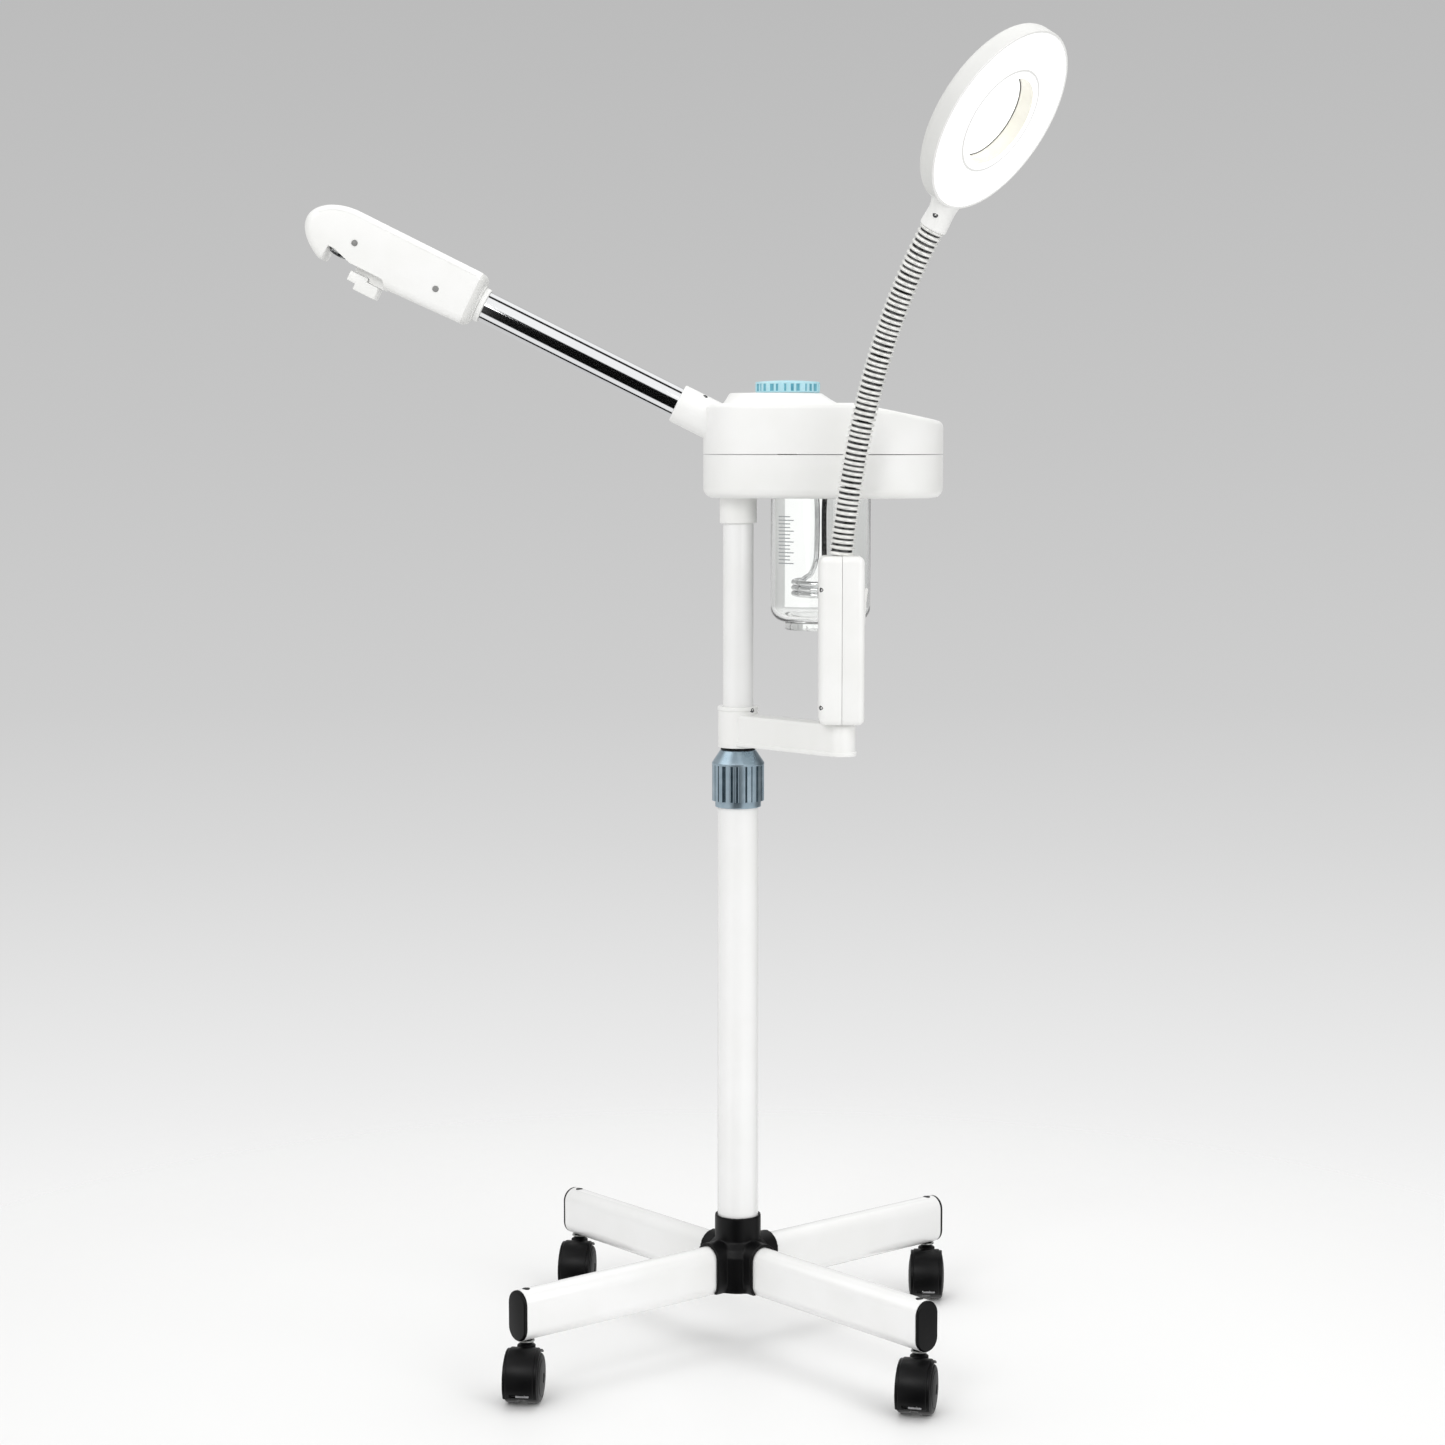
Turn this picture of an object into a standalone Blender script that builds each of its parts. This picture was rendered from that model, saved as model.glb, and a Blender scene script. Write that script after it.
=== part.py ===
# Facial steamer on a rolling stand, with a magnifier lamp on a gooseneck.
# Metres, +Z up. The origin is on the axis of the post, at floor level.
# +X points from the post to the far end of the housing, and -Y to the front.

import math

import bmesh
import bpy
from mathutils import Matrix, Vector

for leftover in list(bpy.data.objects):
    bpy.data.objects.remove(leftover, do_unlink=True)

MM = 0.001
FIT = 0.3 * MM  # gap between two pieces that touch

# Legs and hub
LEG_COUNT = 4
LEG_TURN = math.radians(40)
LEG_HEIGHT = 46 * MM
LEG_WIDTH = 25 * MM
LEG_WALL = 1.6 * MM
LEG_UNDERSIDE = 52.5 * MM
LEG_START = 16 * MM
LEG_END = 253 * MM
LEG_ACCESS_RADIUS = 3 * MM
CAP_FLANGE = 3 * MM
CAP_PLUG = 20 * MM
HUB_RADIUS = 21.5 * MM
HUB_BOTTOM = 55 * MM
HUB_RISE = 25.5 * MM  # sleeve above the legs
HUB_SEAT = 5.5 * MM  # floor of the post socket above the legs
SADDLE_WALL = 3.2 * MM
SADDLE_WAIST = 36 * MM
SADDLE_REACH = 46 * MM
SADDLE_SCALLOP = 16 * MM
SADDLE_LIP = 3 * MM
BOLT_RADIUS = 4 * MM
BOLT_HEAD_RADIUS = 7 * MM
BOLT_HEAD = 5 * MM
WASHER_RADIUS = 11 * MM
WASHER = 1.6 * MM
BOLT_GRIP = 3 * MM  # bolt end above the web of the post

# Casters
CASTER_REACH = 245.5 * MM
CASTER_TURNS = [math.radians(turn) for turn in (-4, -8, -7, -14)]
CASTER_TRAIL = 12 * MM  # axle in front of the swivel axis
WHEEL_RADIUS = 22 * MM
WHEEL_WIDTH = 14 * MM
WHEEL_GAP = 0.9 * MM
WHEEL_DOME = 1 * MM
CASTER_WEB = 7 * MM  # radius of the web about the axle
WHEEL_EDGE = 3 * MM
WHEEL_SIDES = 16
AXLE_RADIUS = 3 * MM
HOOD_WALL = 3.1 * MM
HOOD_WIDTH = 31 * MM
WEB = 6 * MM
NECK_RADIUS = 5.2 * MM
STEM_RADIUS = 4 * MM
STEM_LENGTH = 28 * MM
HOOD_FRONT = math.radians(-35)
HOOD_BACK = math.radians(140)
HOOD_SLOT_WIDTH = 18 * MM
HOOD_SLOT_HEIGHT = 3 * MM
HOOD_SLOT_Z = 10.5 * MM

# Posts and lock collar
LOWER_POST_RADIUS = 19 * MM
LOWER_POST_WALL = 1.5 * MM
LOWER_POST_TOP = 540 * MM
POST_WEB = 6 * MM
UPPER_POST_RADIUS = 14 * MM
UPPER_POST_WALL = 1.5 * MM
UPPER_POST_BOTTOM = 188 * MM
GLIDE_LENGTH = 40 * MM
GLIDE_LIP = 3 * MM
COLLAR_RADIUS = 24 * MM
COLLAR_FLUTE = 1.0 * MM
COLLAR_FLUTES = 20
COLLAR_FOOT_RADIUS = 21.2 * MM
COLLAR_FOOT = 6 * MM
COLLAR_BAND = 35 * MM
COLLAR_CONE = 12 * MM
COLLAR_MOUTH = 16.6 * MM
COLLAR_GRIP = 32 * MM  # lower post inside the collar

# Steam head housing
HOUSING_BOTTOM = 792.5 * MM
PARTING = 831.7 * MM
PARTING_GAP = 0.8 * MM
DECK = 878 * MM
PLATFORM = 887.5 * MM
SHELL_WALL = 2.5 * MM
SMALL_END = 45 * MM
SMALL_END_X = 13 * MM
LARGE_END = 72 * MM
LARGE_END_X = 115 * MM
HOUSING_BOTTOM_ROUND = 9 * MM
DECK_ROUND = 5 * MM
DECK_SLOPE_X = 102 * MM
DECK_SLOPE = math.radians(11)
PLATFORM_X = 34 * MM
PLATFORM_LENGTH = 84 * MM
PLATFORM_WIDTH = 70 * MM
PLATFORM_FOOT_X = 40 * MM
PLATFORM_FOOT_LENGTH = 112 * MM
PLATFORM_FOOT_WIDTH = 90 * MM
POST_SOCKET_RADIUS = 17 * MM
POST_SOCKET_DROP = 23.3 * MM  # collar below the housing
POST_SOCKET_DEPTH = 31.5 * MM  # post above the underside of the housing
POST_SOCKET_ROOF = 3.5 * MM
STANDOFF_RADIUS = 3 * MM
BOARD_LENGTH = 36 * MM
BOARD_WIDTH = 70 * MM
BOARD = 1.6 * MM
BOARD_X = 149 * MM
BOARD_Z = 817 * MM
BOARD_INSET = 4 * MM
INLET_WIDTH = 28 * MM
INLET_HEIGHT = 20 * MM
INLET_DEPTH = 22 * MM
INLET_FLANGE = 2 * MM
INLET_RIM = 3 * MM
INLET_Z = 815 * MM
INLET_PIN = 1.6 * MM
BUTTON_RADIUS = 8 * MM
BUTTON_PROUD = 0.6 * MM
BUTTON_LENGTH = 8 * MM
BUTTON_FLANGE_RADIUS = 10 * MM
BUTTON_FLANGE = 1.5 * MM
BUTTON_X = 140 * MM
BUTTON_SPACING = 44 * MM

# Filler
FILL_X = 45 * MM
FILL_CAP_RADIUS = 29.5 * MM
FILL_CAP_RISE = 11.8 * MM
FILL_CAP_CROWN = 2.2 * MM
FILL_CAP_SKIRT = 2 * MM
FILL_CAP_RIBS = 20
FILL_CAP_RIB = 0.7 * MM
FILL_PLUG = 9 * MM
FUNNEL_BORE = 20.4 * MM
FUNNEL_WALL = 1.8 * MM
FUNNEL_FLANGE = 1.5 * MM
FUNNEL_FLANGE_RADIUS = 26 * MM
FUNNEL_NECK = 26 * MM
FUNNEL_CONE = 22 * MM
SPOUT_BORE = 7.4 * MM
GASKET = 1.8 * MM

# Jar and heater
JAR_X = 75.5 * MM
JAR_RADIUS = 45.7 * MM
JAR_WALL = 3 * MM
JAR_BOTTOM = 679.4 * MM
JAR_FLOOR = 4 * MM
JAR_CORNER = 13 * MM
JAR_ENTRY = 12 * MM  # jar inside the housing
JAR_FOOT_RADIUS = 32.5 * MM
JAR_FOOT_WALL = 6 * MM
JAR_FOOT = 7.4 * MM
JAR_SEAL = 2.6 * MM
SOCKET_WALL = 2.5 * MM
SOCKET_FLANGE = 3 * MM
FLANGE_PLATE = 3 * MM
COIL_TUBE = 4 * MM
COIL_RADIUS = 22 * MM
COIL_TURNS = 3
COIL_PITCH = 10.6 * MM
COIL_TOP = 727 * MM
COIL_LEG_OFFSET = 8.5 * MM
COIL_LEG_TOP = 823 * MM
COIL_BEND = 14 * MM

# Steam arm and nozzle, measured along the arm
ARM_RISE = math.radians(26.5)
ARM_DROP = 27 * MM  # arm axis below the deck, at the post
SLEEVE_RADIUS = 18 * MM
SLEEVE_END = 62 * MM
SLEEVE_START = 2 * MM
TUBE_RADIUS = 14.2 * MM
TUBE_WALL = 1.2 * MM
TUBE_START = 12 * MM
NOZZLE_START = 257.5 * MM  # end of the nozzle collar
NOZZLE_TUBE_DEPTH = 32 * MM
NOZZLE_COLLAR_RADIUS = 16.4 * MM
NOZZLE_COLLAR = 7 * MM
NOZZLE_TOP = 26 * MM
NOZZLE_HEEL = 24 * MM  # underside at the collar
NOZZLE_BELLY = 28 * MM  # underside at the mouth
NOZZLE_LENGTH = 177 * MM
NOZZLE_WIDTH = 50 * MM
NOZZLE_ROUND = 8 * MM
NOZZLE_SHELL = 2.5 * MM
NOSE_CURVE = 42 * MM  # these run back from the tip
NOSE_TIP_Z = 0 * MM
NOSE_CHIN = 25 * MM
MOUTH_BACK = 29 * MM
MOUTH_LENGTH = 24 * MM
MOUTH_ROOF = -14 * MM
AROMA_LENGTH = 36 * MM  # behind the mouth
AROMA_ROOF = -19.5 * MM
AROMA_ROUND = 6 * MM
SPOUT_RADIUS = 10 * MM
SPOUT_WALL = 1.5 * MM
SPOUT_LENGTH = 16 * MM
SPOUT_PLATE = 2 * MM
HOLDER_WIDTH = 34 * MM
HOLDER_DROP = 37.5 * MM
HOLDER_STEP = 10 * MM
HOLDER_STEP_DROP = 4.5 * MM
HOLDER_CUP_WALL = 2 * MM
HOLDER_CUP_DEPTH = 12 * MM

# Lamp bracket and box
BRACKET_TURN = math.radians(-47)
BRACKET_REACH = 133 * MM
BRACKET_BOTTOM = 563.3 * MM
BRACKET_COLLAR = 38 * MM
BRACKET_COLLAR_RADIUS = 18.5 * MM
BRACKET_ARM_LIFT = 2.2 * MM
BRACKET_ARM = 28.5 * MM
BRACKET_WIDTH = 26 * MM
BRACKET_LIP = 1.2 * MM
BRACKET_LIP_HEIGHT = 4 * MM
PIVOT_RADIUS = 5 * MM
PIVOT_HEAD_RADIUS = 9 * MM
PIVOT_HEAD = 3 * MM
BOX_WIDTH = 40 * MM
BOX_DEPTH = 46 * MM
BOX_HEIGHT = 149 * MM
BOX_ROUND = 6 * MM
BOX_WALL = 2.2 * MM
SWITCH_HEIGHT = 33 * MM
SWITCH_WIDTH = 13 * MM
SWITCH_Z = 104 * MM  # above the underside of the box
SWITCH_AXIS = 3 * MM  # pivot behind the face of the box
SWITCH_HIGH = 3.4 * MM
SWITCH_LOW = 0.8 * MM
SWITCH_MID = 1.4 * MM

# Gooseneck and lamp head
NECK_TURN = math.radians(-34)
NECK_LENGTH = 297.5 * MM
NECK_LEAN_START = math.radians(7)
NECK_LEAN_END = math.radians(32.5)
NECK_LEAN_BOW = 0.45
NECK_PARTS = 5
RIB_RADIUS = 10.5 * MM
GROOVE_RADIUS = 9.1 * MM
RIBS_PER_PART = 10
BEND_GAP = 2 * MM
BALL_RADIUS = 6 * MM
NECK_BORE = 3 * MM
STUB_RADIUS = 7 * MM
STUB_LENGTH = 12 * MM
LAMP_RADIUS = 84 * MM
LAMP_THICKNESS = 18 * MM
LAMP_BACK_ROUND = 6 * MM
LAMP_WALL = 2.2 * MM
LAMP_LEDGE = 1.8 * MM
LAMP_NECK_REACH = 108 * MM
LAMP_NECK_RADIUS = 12.3 * MM
LAMP_NECK_FLARE = 27 * MM
LAMP_NECK_ROOT = 76 * MM
LENS_BORE = 43.5 * MM
LENS_RING_WALL = 2.3 * MM
LENS_LEDGE = 2.4 * MM
LENS_EDGE = 3 * MM
LENS_CROWN = 3 * MM
DIFFUSER = 2.2 * MM
DIFFUSER_INSET = 0.4 * MM
LED_BOARD = 1.6 * MM

ROUND = 20  # sides of a turned piece
LAMP_SIDES = 26

# Places worked out from the sizes above
LEG_CENTRE = LEG_UNDERSIDE + LEG_HEIGHT / 2
LEG_TOP = LEG_UNDERSIDE + LEG_HEIGHT
HUB_TOP = LEG_TOP + HUB_RISE
POST_SEAT = LEG_TOP + HUB_SEAT
COLLAR_BOTTOM = LOWER_POST_TOP - COLLAR_GRIP
COLLAR_TOP = COLLAR_BOTTOM + COLLAR_FOOT + COLLAR_BAND + COLLAR_CONE
UPPER_POST_TOP = HOUSING_BOTTOM + POST_SOCKET_DEPTH
JAR_TOP = HOUSING_BOTTOM + JAR_ENTRY
ARM_HEIGHT = DECK - ARM_DROP
NOSE_START = NOZZLE_LENGTH - NOSE_CURVE
NOSE_LIP = NOZZLE_LENGTH - NOSE_CHIN
MOUTH_END = NOZZLE_LENGTH - MOUTH_BACK
MOUTH_START = MOUTH_END - MOUTH_LENGTH
AROMA_START = MOUTH_START - AROMA_LENGTH
SEAL_TOP = JAR_TOP + FIT + JAR_SEAL
PLATE_BOTTOM = SEAL_TOP + FIT
PLATE_TOP = PLATE_BOTTOM + FLANGE_PLATE
ARM_BOTTOM = BRACKET_BOTTOM + BRACKET_ARM_LIFT
ARM_TOP = ARM_BOTTOM + BRACKET_ARM
BOX_BOTTOM = ARM_TOP + FIT
BOX_TOP = BOX_BOTTOM + BOX_HEIGHT
BOX_X = BRACKET_REACH * math.cos(BRACKET_TURN)
BOX_Y = BRACKET_REACH * math.sin(BRACKET_TURN)

parts = bpy.data.collections.new("facial_steamer")
cutters = bpy.data.collections.new("cutters")
bpy.context.scene.collection.children.link(parts)
bpy.context.scene.collection.children.link(cutters)


def finish(name, colour, roughness, metallic=0.0, transmission=0.0):
    material = bpy.data.materials.new(name)
    material.use_nodes = True
    shader = material.node_tree.nodes["Principled BSDF"]
    shader.inputs["Base Color"].default_value = (*colour, 1.0)
    shader.inputs["Roughness"].default_value = roughness
    shader.inputs["Metallic"].default_value = metallic
    shader.inputs["Transmission Weight"].default_value = transmission
    material.diffuse_color = (*colour, 1.0)
    return material


WHITE_SHELL = finish("white_moulded_plastic", (0.86, 0.86, 0.85), 0.35)
WHITE_PAINT = finish("white_painted_steel", (0.84, 0.84, 0.84), 0.3)
BLACK_PLASTIC = finish("black_moulded_plastic", (0.012, 0.012, 0.013), 0.45)
BLACK_RUBBER = finish("black_rubber", (0.02, 0.02, 0.02), 0.75)
BLUE_STEEL = finish("blue_grey_collar", (0.26, 0.36, 0.43), 0.35, 0.6)
CHROME = finish("chromed_steel", (0.8, 0.8, 0.8), 0.08, 1.0)
STEEL = finish("zinc_plated_steel", (0.6, 0.6, 0.58), 0.35, 1.0)
GLASS = finish("clear_glass", (0.95, 0.97, 0.97), 0.02, 0.0, 1.0)
AQUA = finish("aqua_cap_plastic", (0.4, 0.72, 0.81), 0.3)
SILICONE = finish("silicone", (0.75, 0.75, 0.72), 0.6)
DIFFUSER_WHITE = finish("opal_diffuser", (0.9, 0.9, 0.88), 0.5)
BOARD_GREEN = finish("circuit_board", (0.03, 0.16, 0.07), 0.5)


def object_from(bm, name, material, place=None, collection=parts):
    mesh = bpy.data.meshes.new(name)
    bmesh.ops.recalc_face_normals(bm, faces=bm.faces)
    bm.to_mesh(mesh)
    bm.free()
    return object_with(mesh, name, material, place, collection)


def object_with(mesh, name, material, place=None, collection=parts):
    body = bpy.data.objects.new(name, mesh)
    collection.objects.link(body)
    if material and not mesh.materials:
        mesh.materials.append(material)
    if place is not None:
        body.matrix_world = place
    if collection is cutters:
        body.hide_render = True
        body.display_type = "WIRE"
    return body


def baked_mesh(body, name):
    bpy.context.view_layer.update()
    depsgraph = bpy.context.evaluated_depsgraph_get()
    mesh = bpy.data.meshes.new_from_object(body.evaluated_get(depsgraph))
    mesh.name = name
    return mesh


def bake(body):
    # Makes the evaluated shape the object's own mesh.
    mesh = baked_mesh(body, body.name)
    if body.type == "CURVE":
        bm = bmesh.new()
        bm.from_mesh(mesh)
        bmesh.ops.remove_doubles(bm, verts=bm.verts, dist=0.001 * MM)
        bmesh.ops.dissolve_limit(bm, angle_limit=0.001, verts=bm.verts, edges=bm.edges)
        bmesh.ops.recalc_face_normals(bm, faces=bm.faces)
        bm.to_mesh(mesh)
        bm.free()
        name, place = body.name, body.matrix_world.copy()
        collection = body.users_collection[0]
        material = body.data.materials[0] if body.data.materials else None
        bpy.data.objects.remove(body, do_unlink=True)
        return object_with(mesh, name, material, place, collection)
    body.modifiers.clear()
    body.data = mesh
    return body


def boolean(body, other, operation="DIFFERENCE"):
    modifier = body.modifiers.new(operation.lower(), "BOOLEAN")
    modifier.operation = operation
    modifier.solver = "EXACT"
    modifier.object = other


def shade(body):
    body.data.shade_smooth()
    body.data.set_sharp_from_angle(angle=math.radians(35))
    return body


def rounded(body, width, segments=2, angle=math.radians(40)):
    modifier = body.modifiers.new("rounded", "BEVEL")
    modifier.width = width
    modifier.segments = segments
    modifier.limit_method = "ANGLE"
    modifier.angle_limit = angle


def turned(name, profile, material, place=None, collection=parts, sides=ROUND):
    # A closed profile of (radius, height), down its outer side first.
    bm = bmesh.new()
    points = [bm.verts.new((radius, 0, height)) for radius, height in profile]
    for first, second in zip(points, points[1:]):
        bm.edges.new((first, second))
    if profile[0][0] > 0:
        bm.edges.new((points[-1], points[0]))
    mesh = bpy.data.meshes.new(name)
    bm.to_mesh(mesh)
    bm.free()
    body = object_with(mesh, name, material, place, collection)
    screw = body.modifiers.new("turned", "SCREW")
    screw.steps = sides
    screw.render_steps = sides
    screw.use_merge_vertices = True
    screw.merge_threshold = 0.001 * MM
    screw.use_smooth_shade = True
    return body


def cylinder(name, radius, bottom, top, material=None, place=None, collection=cutters, sides=ROUND):
    bm = bmesh.new()
    bmesh.ops.create_cone(
        bm, cap_ends=True, segments=sides, radius1=radius, radius2=radius, depth=top - bottom,
        matrix=Matrix.Translation((0, 0, (top + bottom) / 2)),
    )
    return object_from(bm, name, material, place, collection)


def block(name, low, high, material=None, place=None, collection=cutters):
    bm = bmesh.new()
    size = [b - a for a, b in zip(low, high)]
    middle = [(a + b) / 2 for a, b in zip(low, high)]
    bmesh.ops.create_cube(
        bm, size=1.0, matrix=Matrix.Translation(middle) @ Matrix.Diagonal((*size, 1.0))
    )
    return object_from(bm, name, material, place, collection)


def plate(name, outlines, low, high, material=None, place=None, collection=parts):
    # A flat outline with any holes in it, from low to high along its own Z.
    curve = bpy.data.curves.new(name, "CURVE")
    curve.dimensions = "2D"
    curve.fill_mode = "BOTH"
    curve.extrude = (high - low) / 2
    for outline in outlines:
        spline = curve.splines.new("POLY")
        spline.points.add(len(outline) - 1)
        for point, (x, y) in zip(spline.points, outline):
            point.co = (x, y, 0, 1)
        spline.use_cyclic_u = True
    if material:
        curve.materials.append(material)
    body = bpy.data.objects.new(name, curve)
    collection.objects.link(body)
    lift = Matrix.Translation((0, 0, (high + low) / 2))
    body.matrix_world = (place or Matrix.Identity(4)) @ lift
    body = bake(body)
    body.data.transform(lift)
    body.matrix_world = place or Matrix.Identity(4)
    if collection is cutters:
        body.hide_render = True
        body.display_type = "WIRE"
    return body


def fused(body, *others):
    # Joins the others to a body and bakes the result.
    for other in others:
        boolean(body, other, "UNION")
    bake(body)
    for other in others:
        bpy.data.objects.remove(other, do_unlink=True)
    return body


def arc(centre, radius, start, end, steps):
    return [
        (
            centre[0] + radius * math.cos(start + (end - start) * step / steps),
            centre[1] + radius * math.sin(start + (end - start) * step / steps),
        )
        for step in range(steps + 1)
    ]


def flat_oval(width, height, steps=4):
    straight = (height - width) / 2
    top = arc((0, straight), width / 2, 0, math.pi, steps)
    return top + arc((0, -straight), width / 2, math.pi, 2 * math.pi, steps)


def tube_along(name, points, radius, material, resolution, radii=None, collection=parts):
    curve = bpy.data.curves.new(name, "CURVE")
    curve.dimensions = "3D"
    curve.bevel_depth = radius
    curve.bevel_resolution = resolution
    curve.use_fill_caps = True
    spline = curve.splines.new("POLY")
    spline.points.add(len(points) - 1)
    for index, place in enumerate(points):
        spline.points[index].co = (*place, 1)
        if radii:
            spline.points[index].radius = radii[index] / radius
    if material:
        curve.materials.append(material)
    body = bpy.data.objects.new(name, curve)
    collection.objects.link(body)
    return bake(body)


def frame_of(x_axis, y_axis, z_axis, origin):
    place = Matrix.Identity(4)
    for column, axis in enumerate((x_axis, y_axis, z_axis)):
        place.col[column][:3] = axis
    place.translation = origin
    return place


def fluted(body, low, high, radius, depth, count):
    # Draws every other point of a turned band inwards.
    for vertex in body.data.vertices:
        reach = math.hypot(vertex.co.x, vertex.co.y)
        if low <= vertex.co.z <= high and abs(reach - radius) < depth / 4:
            step = round(math.atan2(vertex.co.y, vertex.co.x) / (math.pi / count))
            if step % 2:
                vertex.co.x *= (radius - depth) / radius
                vertex.co.y *= (radius - depth) / radius


# Legs and hub

def leg_place(index, reach=0.0, height=0.0):
    turn = LEG_TURN + index * 2 * math.pi / LEG_COUNT
    along = Vector((math.cos(turn), math.sin(turn), 0))
    across = Vector((-math.sin(turn), math.cos(turn), 0))
    return frame_of(across, Vector((0, 0, 1)), along, along * reach + Vector((0, 0, height)))


def make_leg(index):
    number = index + 1
    place = leg_place(index, 0, LEG_CENTRE)
    inside = flat_oval(LEG_WIDTH - 2 * LEG_WALL, LEG_HEIGHT - 2 * LEG_WALL)
    outside = flat_oval(LEG_WIDTH, LEG_HEIGHT)
    leg = plate(f"leg_{number}", [outside, inside], LEG_START, LEG_END, WHITE_PAINT, place)
    upright = Matrix.Translation(leg_place(index, CASTER_REACH).translation)
    access = cylinder(
        f"access_{number}", LEG_ACCESS_RADIUS, LEG_CENTRE, LEG_TOP + FIT, None, upright, sides=10
    )
    stem_hole_radius = STEM_RADIUS + 3 * FIT
    stem_hole = cylinder(
        f"stem_hole_{number}", stem_hole_radius, LEG_UNDERSIDE - FIT, LEG_CENTRE, None, upright,
        sides=12
    )
    boolean(leg, access)
    boolean(leg, stem_hole)
    shade(leg)

    cap = plate(
        f"leg_cap_{number}", [outside], LEG_END + FIT, LEG_END + FIT + CAP_FLANGE, BLACK_PLASTIC, place,
    )
    plug_width = LEG_WIDTH - 2 * LEG_WALL - 2 * FIT
    plug_height = LEG_HEIGHT - 2 * LEG_WALL - 2 * FIT
    plug = plate(
        f"plug_{number}", [flat_oval(plug_width, plug_height)],
        LEG_END - CAP_PLUG, LEG_END + FIT + CAP_FLANGE / 2, None, place,
    )
    fused(cap, plug)
    socket_top = LEG_UNDERSIDE + STEM_LENGTH + FIT
    socket = cylinder(
        f"socket_{number}", STEM_RADIUS + FIT, LEG_UNDERSIDE, socket_top, None, upright, sides=12,
    )
    boolean(cap, socket)
    shade(cap)


def make_hub():
    hub = cylinder("base_hub", HUB_RADIUS, LEG_UNDERSIDE, HUB_TOP, BLACK_PLASTIC, None, parts)
    grown = 2 * (FIT + SADDLE_WALL)
    saddles = [
        plate(
            f"saddle_{index}", [flat_oval(LEG_WIDTH + grown, LEG_HEIGHT + grown)],
            BOLT_RADIUS, SADDLE_REACH, None, leg_place(index, 0, LEG_CENTRE), cutters,
        )
        for index in range(LEG_COUNT)
    ]
    fused(hub, *saddles)
    saddle_top = LEG_TOP + FIT + SADDLE_WALL
    scallop_top = saddle_top - SADDLE_LIP
    scallop_low = scallop_top - SADDLE_SCALLOP
    below = LEG_UNDERSIDE - 2 * SADDLE_WALL
    scallop = [
        (
            SADDLE_REACH - (SADDLE_REACH - SADDLE_WAIST) * math.cos(step * math.pi / 8),
            scallop_low + SADDLE_SCALLOP * math.sin(step * math.pi / 8),
        )
        for step in range(4, -1, -1)
    ]
    outer = SADDLE_REACH + LEG_WIDTH
    ring = [(outer, scallop_top), (outer, below), (SADDLE_WAIST, below)] + scallop[::-1]
    boolean(hub, turned("scallop", ring, None, None, cutters))
    boolean(hub, block("hub_underside", (-outer, -outer, 0), (outer, outer, HUB_BOTTOM)))
    for index in range(LEG_COUNT):
        channel = plate(
            f"channel_{index}", [flat_oval(LEG_WIDTH + 2 * FIT, LEG_HEIGHT + 2 * FIT)],
            LEG_START - FIT, outer, None, leg_place(index, 0, LEG_CENTRE), cutters,
        )
        boolean(hub, channel)
    boolean(hub, cylinder("post_bore", LOWER_POST_RADIUS + FIT, POST_SEAT, HUB_TOP + FIT))
    boolean(hub, cylinder("bolt_bore", BOLT_RADIUS + FIT, 0, POST_SEAT + FIT, sides=16))
    shade(bake(hub))

    bolt_top = POST_SEAT + FIT + POST_WEB + BOLT_GRIP
    washer_top = HUB_BOTTOM - FIT
    bolt = turned(
        "hub_bolt",
        [
            (0, bolt_top), (BOLT_RADIUS, bolt_top), (BOLT_RADIUS, washer_top),
            (WASHER_RADIUS, washer_top), (WASHER_RADIUS, washer_top - WASHER), (0, washer_top - WASHER),
        ],
        STEEL, sides=16,
    )
    head_top = washer_top - WASHER / 2
    head = cylinder("bolt_head", BOLT_HEAD_RADIUS, head_top - BOLT_HEAD, head_top, sides=6)
    fused(bolt, head)


# Casters

def caster_place(index):
    reach = leg_place(index, CASTER_REACH).translation
    return Matrix.Translation(reach) @ Matrix.Rotation(CASTER_TURNS[index], 4, "Z")


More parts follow.
